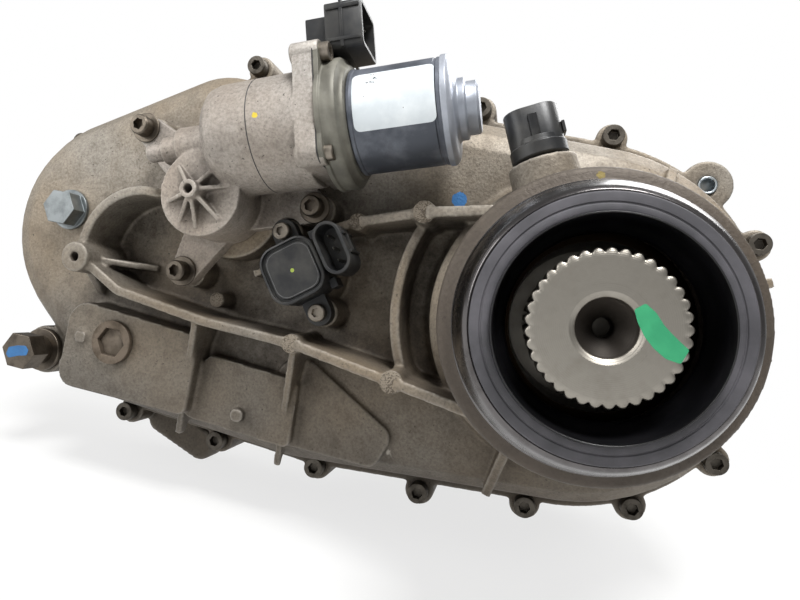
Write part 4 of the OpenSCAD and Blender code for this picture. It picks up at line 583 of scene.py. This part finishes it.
# %% Motor can and end cap
can_r = 19.0
make_piece("motor_can_drawn", spun([
    (can_r - 1.2, 47.0), (can_r - 0.1, 47.0), (can_r + 0.35, 47.4), (can_r + 0.35, 48.6),
    (can_r, 49.0), (can_r, 77.6), (can_r - 0.35, 77.9), (can_r - 0.35, 78.5), (can_r, 78.8),
    (can_r, 80.0), (can_r - 1.2, 80.0)]),
    along_motor, can_coat, replaced=("motor_can",), rim=0.12)
make_piece("motor_cap_pressed", spun([
    (4.1, 80.0), (can_r + 0.2, 80.0), (can_r + 0.6, 80.3), (can_r + 0.6, 82.1), (can_r + 0.1, 82.8),
    (can_r - 1.0, 83.6), (can_r - 2.5, 84.0), (12.5, 84.0), (11.6, 84.5), (11.0, 85.2), (11.0, 87.4),
    (10.6, 87.8), (9.7, 88.0), (9.5, 88.4), (9.5, 91.6), (8.8, 92.5), (0.0, 92.5), (0.0, 89.0),
    (4.1, 89.0)]),
    along_motor, cap_coat, replaced=("motor_end_cap",), rim=0.12)
make_piece("motor_bell_pressed", join(
    spun([
        (17.6, 37.1), (24.0, 37.0), (24.5, 37.5), (24.5, 38.8), (23.9, 39.4), (23.9, 41.2),
        (24.2, 41.7), (24.2, 43.6), (23.6, 44.6), (22.2, 45.2), (21.4, 45.8), (21.0, 46.7),
        (20.4, 47.0), (17.6, 47.0)]),
    slab([(23, -19), (23, 29.2), (-21, 25.3), (-23, -19)], 37, 39, 5.0)),
    along_motor, bell_coat, replaced=("motor_bell",), rim=0.2)

# %% [markdown]
# The two screws that hold the motor are small pan-head screws. A pan head is a low disc with
# a rounded rim, and its star socket is an inset pushed down into the top. A wave with six
# crests draws the rim of the inset in and out, which gives the lobes that a star bit needs.

# %% Motor screws
rim_share, lobe_depth, socket_depth = 0.12, 0.16, 0.45


def pan_head(radius, height, star):
    """A low round screw head with a star socket."""
    head = bmesh.new()
    bmesh.ops.create_cone(head, cap_ends=True, segments=36, radius1=radius, radius2=radius,
                          depth=height, matrix=Matrix.Translation((0, 0, height / 2)))
    step_in(head, radius * rim_share, height * rim_share)
    face = step_in(head, radius * (1 - rim_share) - star, 0.02)
    for index, vert in enumerate(face.verts):
        vert.co.xy *= 1 - lobe_depth * (0.5 + 0.5 * math.cos(index * math.tau / 6))
    step_in(head, 0.02, -height * socket_depth)
    return head


def shank(radius, length):
    """The plain stem below a screw head, standing on the origin."""
    return spun([(0.02, 0), (radius, 0), (radius, length), (0.02, length)], 32)


bell_face, socket_edge = 39, 30
motor_screws = join(*[moved(pan_head(3.4, 3.0, 1.8), x, y, bell_face)
                      for x, y in ((18, 24), (-16.5, 21.5))])
make_piece("motor_screws", motor_screws, along_motor, screw_steel, sharp=socket_edge)

# %% [markdown]
# Three larger screws with washers hold the actuator to the case. The motor is sealed to the
# gear housing by a thin rubber gasket cut to the outline of the flange. Two cast lugs stand at
# the flange's corners, one with a small screw, and a fine bead of rubber shows at the seam of
# the barrel.

# %% Actuator screws, gasket and lugs
screw_seat, shank_foot = 187, 172.5
washer = [(3.2, 0), (6.1, 0), (6.4, 0.3), (6.4, 0.9), (6.1, 1.2), (3.2, 1.2)]
lug_screws = bmesh.new()
for right_of, above in ((-13, -32), (40.5, 4), (-43, 26)):
    x, y = shift_axis[0] + right_of, shift_axis[1] + above
    join(lug_screws, moved(pan_head(4.3, 5.6, 2.5), x, y, screw_seat),
         moved(shank(3, 14.6), x, y, shank_foot), moved(spun(washer, 48), x, y, screw_seat))
make_piece("actuator_screw_heads", lug_screws, on_main_axis, head_steel,
           replaced=("actuator_screws",), sharp=socket_edge)
gasket = slab([(23.2, -19.2), (23.2, 29.4), (-21.2, 25.5), (-23.2, -19.2)], 36.8, 37.15, 5.0)
make_piece("motor_gasket", gasket, along_motor, rubber)
lug_top, screwed_lug, plain_lug = 38.9, (-18, -15), (-17, 21.5)
lug = [(0.02, 28), (3.6, 28), (4.3, 28.7), (4.3, 38.6), (4.1, lug_top), (0.02, lug_top)]
lugs = join(*[moved(spun(lug, 40), x, y, 0) for x, y in (screwed_lug, plain_lug)])
make_piece("motor_lugs", lugs, along_motor, cover_skin, rim=0.3)
make_piece("motor_lug_screw", moved(pan_head(3.0, 2.6, 1.6), *screwed_lug, lug_top), along_motor,
           screw_steel, sharp=socket_edge)
make_piece("barrel_seam", spun([(21.0, 10.3), (21.72, 10.4), (21.8, 10.6), (21.72, 10.8), (21.0, 10.9)]),
           along_motor, rubber)

# %% [markdown]
# ## Plugs and sensors
# The three sockets are injection-moulded nylon. Each is a block or a can with rounded corners
# whose mouth is an inset pushed down, the way that a mould's core leaves it, with a thin lip
# round the rim and flat tinned pins standing on its floor.

# %% Moulded sockets
lip_height, lip_width, draft, pin_tip = 0.4, 0.25, 0.08, 0.6


def socket(corners, low, high, rounding, wall, depth):
    """A moulded plug shroud: an upright block with an open mouth and a thin lip."""
    shell = slab(corners, low, high - lip_height, rounding)
    step_in(shell, lip_width, lip_height)
    step_in(shell, wall - lip_width, 0.0)
    step_in(shell, draft, -depth)
    return shell


def pins(places, low, high, wide, thick):
    """Flat contact pins, each a small block with its tip drawn in."""
    row = bmesh.new()
    half, thin = wide / 2, thick / 2
    for x, y in places:
        pin = slab([(x - half, y - thin), (x + half, y - thin), (x + half, y + thin),
                    (x - half, y + thin)], low, high - pin_tip)
        step_in(pin, thin * 0.5, pin_tip)
        join(row, pin)
    return row


def ribbed(shell, boxes):
    """Adds moulded ribs, given as low and high corners."""
    for (x, y, z), (x2, y2, z2) in boxes:
        join(shell, slab([(x, y), (x2, y), (x2, y2), (x, y2)], z, z2, 0.25, 2))
    return shell


motor_plug = socket([(-12, 24.9), (8, 24.9), (8, 42.5), (-12, 42.5)], 39.3, 53.3, 2.4, 1.5, 9.4)
join(motor_plug, slab([(-8, 27.9), (6, 27.9), (6, 39.9), (-8, 39.9)], 30.5, 41.4, 1.6))
ribbed(motor_plug, [((-12.5, 27, 40.2), (-12, 28.4, 52.6)), ((-12.5, 39, 40.2), (-12, 40.4, 52.6)),
                    ((-12.4, 24.8, 45.0), (8.2, 42.6, 46.2))])
make_piece("motor_plug_shell", motor_plug, along_motor, nylon, replaced=("motor_connector",), rim=0.25)
make_piece("motor_plug_pins", pins([(x, y) for x in (-6, -2, 2) for y in (30.4, 36.6)],
                                   43.8, 51.0, 1.4, 0.6), along_motor, contact_pin)

# %% [markdown]
# The position sensor is a square nylon box with a potted top, standing on a rounded foot plate
# that two screws hold to the case. Insets of the top face step the box from one block: they
# give it a shoulder, a rim, a groove and the raised plateau that the epoxy is poured on.

# %% Position sensor
sensor_at, sensor_seat, sensor_turn = (-108.06, -1.05), 185, 36
foot_reach, foot_top, stem = 18, 5, 13
on_sensor = stand(*sensor_at, sensor_seat, sensor_turn)
sensor_body = slab([(5.2, -23.2), (5.2, 23.2), (-5.2, 23.2), (-5.2, -23.2)], 0.0, 5.0, 5.1)
housing = slab([(12, 12), (-12, 12), (-12, -12), (12, -12)], 0.0, 14.3, 7.2)
for inset, rise in ((0.35, 0.55), (0.75, 0.15), (0.1, -1.5), (1.0, 0.0), (0.1, 0.7)):
    step_in(housing, inset, rise)
plug = socket([(13.5, -10.5), (24.5, -10.5), (24.5, 10.5), (13.5, 10.5)], 5.0, 19.0, 5.4, 1.3, 9.6)
bridge = slab([(8, -5), (15, -5), (15, 5), (8, 5)], 4.0, 12.6, 0.8)
neck = spun([(4.4, -16), (7.6, -16), (8, -15.5), (8, 1), (4.4, 1)], 48)
join(sensor_body, housing, plug, bridge, neck)
ribbed(sensor_body, [((24.3, -4.4, 6), (25.3, -3.2, 17)), ((24.3, 3.2, 6), (25.3, 4.4, 17)),
                     ((24.3, -3.4, 12.5), (25.6, 3.4, 14.0)), ((10, -12.3, 2), (13, -8.5, 9)),
                     ((10, 8.5, 2), (13, 12.3, 9))])
make_piece("position_sensor_body", sensor_body, on_sensor, nylon, replaced=("position_sensor",), rim=0.22)
plate = slab([(9.3, 9.3), (-9.3, 9.3), (-9.3, -9.3), (9.3, -9.3)], 13.8, 14.25, 5.0)
step_in(plate, 0.5, -0.12)
make_piece("sensor_potting", plate, on_sensor, potting, rim=0.1)
dot = spun([(0.02, 14.0), (0.9, 14.0), (0.8, 14.2), (0.02, 14.22)], 24)
make_piece("sensor_paint_dot", dot, on_sensor, yellow_paint)
both_sides = (foot_reach, -foot_reach)
heads = join(*[moved(pan_head(3.5, 3.2, 1.9), 0, y, foot_top) for y in both_sides])
join(heads, *[moved(shank(2.5, stem), 0, y, foot_top - stem) for y in both_sides])
make_piece("sensor_screw_heads", heads, on_sensor, screw_steel, replaced=("sensor_screws",),
           sharp=socket_edge)
make_piece("sensor_pins", pins([(19, y) for y in (-5, 0, 5)], 9.0, 16.5, 0.7, 1.3), on_sensor,
           contact_pin)

# %% [markdown]
# The speed sensor is a round nylon probe pushed into the tail, so that its tip reads the tone
# ring. It stands out like a spoke: its shapes are drawn along one line, tilted flat and turned
# to its angle. The collar on the probe stops it at the right depth.

# %% Speed sensor
probe_foot, probe_z, probe_turn = 35.2, 199, 114
probe_angle = math.radians(probe_turn)
along_probe = stand(probe_foot * math.cos(probe_angle), probe_foot * math.sin(probe_angle), probe_z,
                    probe_turn) @ Matrix.Rotation(math.radians(90), 4, "Y")
probe = spun([(0, 0), (7.6, 0), (8, 0.4), (8, 23.6), (9.6, 24.0), (10, 24.4), (10, 28.4), (9.6, 28.8),
              (8.4, 29.2), (8.2, 31), (0, 31)], 64)
shroud = socket([(6.5, 9.5), (-6.5, 9.5), (-6.5, -9.5), (6.5, -9.5)], 28.5, 42.0, 6.2, 1.4, 8.0)
join(probe, shroud)
ribbed(probe, [((-7.2, -1.6, 31), (-6.3, 1.6, 39)), ((6.3, -3.6, 31), (7.3, -2.4, 40)),
               ((6.3, 2.4, 31), (7.3, 3.6, 40)), ((-3, -10.4, 31), (3, -9.3, 35))])
make_piece("speed_sensor_body", probe, along_probe, nylon, replaced=("speed_sensor",), rim=0.22)
make_piece("speed_sensor_pins", pins([(0, -2.6), (0, 2.6)], 33.6, 40.2, 0.7, 1.4), along_probe,
           contact_pin)

# %% [markdown]
# ## Marking paint
# A fitter dabs paint on what has been checked. The stroke on the end of the output shaft is a
# wet bend from the bore to the teeth: a flat outline with rounded corners, raised by the
# thickness of the paint, and it turns with the shaft.

# %% Paint stroke on the output shaft
paint_height = 0.07
stroke_line = [(6.3, 6.6), (8.3, 4.3), (10.6, 1.4), (12.8, -0.5), (15.4, -2.2), (18.3, -3.2)]
half_width = [1.5, 2.4, 2.6, 2.7, 2.6, 1.9]
upper, lower = [], []
for index, (x, y) in enumerate(stroke_line):
    before = stroke_line[max(index - 1, 0)]
    after = stroke_line[min(index + 1, len(stroke_line) - 1)]
    run = Vector((after[0] - before[0], after[1] - before[1])).normalized() * half_width[index]
    upper.append((x - run.y, y + run.x))
    lower.append((x + run.y, y - run.x))
stroke = slab(lower + upper[::-1], tail_face, tail_face + paint_height, 0.4, 3)
make_piece("paint_stroke", stroke, on_main_axis, green_paint, body="rear_output_train")

# %% [markdown]
# The head of the long ear bolt has a short dab of the same kind of paint, in blue. It is a
# thin slab laid on the hexagon, as the brush left it.

# %% Paint on the ear bolt
ear_middle, bolt_top = (left_axis_x - 29, -64.5), 176.0
dab = slab([(-6.2, -2.8), (-4.4, -4.2), (0.6, -2.2), (5.4, -1.0), (6.0, 1.6), (4.0, 3.4), (-0.6, 2.6),
            (-5.4, 0.8)], 0.0, 0.06, 0.5, 3)
make_piece("bolt_paint", moved(dab, *ear_middle, bolt_top), on_main_axis, blue_paint)

# %% [markdown]
# Two small marks come from use and from the die. Road dirt has packed the bottom of the drain
# plug's hexagon, so a shallow six-sided cake lies in it. And five of the round bosses along the
# ribs end in a rough print, as an ejector pin leaves: a low disc with a coarse stipple.

# %% Packed dirt and ejector prints
drain_at, socket_flats, socket_play = (left_axis_x + 25, -48.5), 12, 0.05
socket_radius = socket_flats / math.sqrt(3) - socket_play
cake = slab([(socket_radius * math.cos(angle), socket_radius * math.sin(angle))
             for angle in (math.radians(corner) for corner in range(0, 360, 60))], 177.0, 180.1)
step_in(cake, 0.8, 0.25)
make_piece("drain_dirt", moved(cake, *drain_at, 0), on_main_axis, packed_dirt, rim=0.15)
bosses = [(-62, 29.6, 4.4, 198), (-61, -34.2, 4.4, 202), (-89, 22.7, 3.6, 190),
          (left_axis_x + 114, -29.6, 4, 194), (left_axis_x + 71, -20, 3.4, 180)]
prints = bmesh.new()
for x, y, radius, top in bosses:
    disc = [(0.02, -0.6), (radius - 0.25, -0.6), (radius - 0.25, 0.05), (radius - 0.5, 0.2), (0.02, 0.25)]
    join(prints, moved(spun(disc, 40), x, y, top))
make_piece("ejector_prints", prints, on_main_axis, stippled)

# %% [markdown]
# The splines were rolled, and their ends are rounded where the yoke slides on. The rounded
# end is a ring of loops, each shaped by one formula for the teeth and bridged to the next.

# %% Rounded ends of the splines
teeth, tooth_root, tooth_tip, tooth_fullness = 37, 18.35, 19.8, 0.6
loop_points = teeth * 10


def tooth_loop(shape, height, shrink):
    """A loop of edges that follows the teeth, drawn in by shrink."""
    loop = bmesh.ops.create_circle(shape, segments=loop_points, radius=1.0)["verts"]
    for vert in loop:
        angle = math.atan2(vert.co.y, vert.co.x)
        lobe = abs(math.cos(angle * teeth / 2)) ** tooth_fullness
        reach = tooth_root + (tooth_tip - tooth_root) * lobe - shrink
        vert.co = Vector((reach * math.cos(angle), reach * math.sin(angle), height))
    return list({edge for vert in loop for edge in vert.link_edges})


def round_loop(shape, height, radius):
    """A plain round loop with as many points as a tooth loop, so that the two can be bridged."""
    loop = bmesh.ops.create_circle(shape, segments=loop_points, radius=radius)["verts"]
    bmesh.ops.translate(shape, verts=loop, vec=(0, 0, height))
    return list({edge for vert in loop for edge in vert.link_edges})


spline = bmesh.new()
loops = [tooth_loop(spline, height, shrink)
         for height, shrink in ((246.0, 0.0), (257.2, 0.0), (257.7, 0.15), (257.98, 0.5))]
loops += [round_loop(spline, height, radius)
          for height, radius in ((258.03, 17.2), (258.03, 11.0), (246.0, 11.0))]
for one, other in zip(loops, loops[1:] + loops[:1]):
    bmesh.ops.bridge_loops(spline, edges=one + other)
make_piece("spline_end", spline, on_main_axis, shaft_steel, body="rear_output_train", sharp=50)

# %% [markdown]
# ## Blank foil
# The can carries a blank rating foil. It is cut flat with round corners and then rubbed down
# on the can, so it is modelled the same way: a flat grid with rounded corners is rolled round
# the motor's axis, each point turned by its own distance from the middle.

# %% Foil on the motor can
foil_start, foil_turn, glue = 49.4, math.radians(85.0), 0.03
foil = slab([(0, -11), (29, -11), (29, 11), (0, 11)], 0.0, 0.12, 2.2)
for cut in range(-10, 11):
    bmesh.ops.bisect_plane(foil, geom=foil.verts[:] + foil.edges[:] + foil.faces[:], dist=0.0001,
                           plane_co=(0, cut, 0), plane_no=(0, 1, 0))
for vert in foil.verts:
    reach = can_r + glue + vert.co.z
    turned = foil_turn + vert.co.y / can_r
    vert.co = Vector((-reach * math.sin(turned), reach * math.cos(turned), foil_start + vert.co.x))
make_piece("motor_foil", foil, along_motor, foil_skin)

# %% [markdown]
# ## Camera
# The picture is taken from close by with a wide lens, so the tail looms large. Where the
# camera stands and how it is turned were worked out from parts that must come out round: the
# splined shaft, the nose of the tail and the left dome.

# %% Camera
viewpoint = (-21.466, -400.951, -1.017)
camera_data = bpy.data.cameras.new("camera")
camera_data.lens = 25.15
camera_data.clip_start = 0.01
camera = bpy.data.objects.new("camera", camera_data)
bpy.context.collection.objects.link(camera)
right = Vector((0.95920, 0.20594, 0.19370))
up = Vector((-0.19257, -0.02574, 0.98095))
back = right.cross(up).normalized()
turn = Matrix((right, up, back)).transposed()
camera.matrix_world = Matrix.Translation(Vector(viewpoint) * MM) @ turn.to_4x4()
bpy.context.scene.camera = camera
print("camera looks along", [round(v, 3) for v in -back])

# %% [markdown]
# ## Floor, light and background
# A matt white board lies under the case and catches a soft shadow. Away from the case it fades
# into plain white, as a product shot does, so no horizon shows. The world gives an even, low
# light, and three soft boxes give it form: the key from above, a fill and a rim light.

# %% Floor, light and background
middle = (-0.1, -0.16, 0.0)
near_case, far_from_case, board_share, world_light = 240.0, 520.0, 0.74, 0.28
low = cad_box[0]
mesh = bpy.data.meshes.new("floor")
sheet = bmesh.new()
bmesh.ops.create_grid(sheet, x_segments=1, y_segments=1, size=4.0)
bmesh.ops.translate(sheet, verts=sheet.verts, vec=(0, 0, low[2]))
sheet.to_mesh(mesh)
sheet.free()
floor = bpy.data.objects.new("floor", mesh)
bpy.context.collection.objects.link(floor)
floor_paint, tree, place = new_material("matt white board")
ray = add(tree, "LightPath")
seen = add(tree, "Math", {0: ray.outputs["Is Camera Ray"], 1: ray.outputs["Is Glossy Ray"]},
           operation="MAXIMUM")
below = tuple(v / MM for v in (middle[0], middle[1], low[2]))
away = add(tree, "VectorMath", {0: place, 1: below}, operation="DISTANCE")
fade = add(tree, "MapRange", {"Value": away.outputs["Value"], "From Min": near_case,
                              "From Max": far_from_case, "To Min": board_share, "To Max": 1.0})
share = add(tree, "Math", {0: seen.outputs[0], 1: fade.outputs["Result"]}, operation="MULTIPLY")
matt = add(tree, "BsdfDiffuse", {"Color": linear("#e4e4e2")})
white = add(tree, "Emission", {"Color": (1, 1, 1, 1), "Strength": 1.0})
both = add(tree, "MixShader", {0: share.outputs[0], 1: matt.outputs[0], 2: white.outputs[0]})
add(tree, "OutputMaterial", {"Surface": both.outputs[0]})
mesh.materials.append(floor_paint)

world = bpy.data.worlds.new("studio")
bpy.context.scene.world = world
world.use_nodes = True
tree = world.node_tree
tree.nodes.clear()
ray = add(tree, "LightPath")
seen = add(tree, "Math", {0: ray.outputs["Is Camera Ray"], 1: 1 - world_light, 2: world_light},
           operation="MULTIPLY_ADD")
sky = add(tree, "Background", {"Color": (1, 1, 1, 1), "Strength": seen.outputs[0]})
add(tree, "OutputWorld", {"Surface": sky.outputs[0]})


def area_lamp(name, place, aim, size, watts):
    """A soft box at a place, aimed at a point."""
    lamp = bpy.data.lights.new(name, "AREA")
    lamp.size = size
    lamp.energy = watts
    item = bpy.data.objects.new(name, lamp)
    bpy.context.collection.objects.link(item)
    item.location = place
    item.rotation_mode = "QUATERNION"
    item.rotation_quaternion = (Vector(aim) - Vector(place)).to_track_quat("-Z", "Y")


area_lamp("key", (0.05, -0.62, 0.85), middle, 0.3, 14)
area_lamp("fill", (-0.9, -0.75, 0.35), middle, 0.6, 5.5)
area_lamp("rim", (0.3, 0.6, 0.8), middle, 0.6, 8)
bpy.context.scene.view_settings.view_transform = "Standard"
print("three lamps")
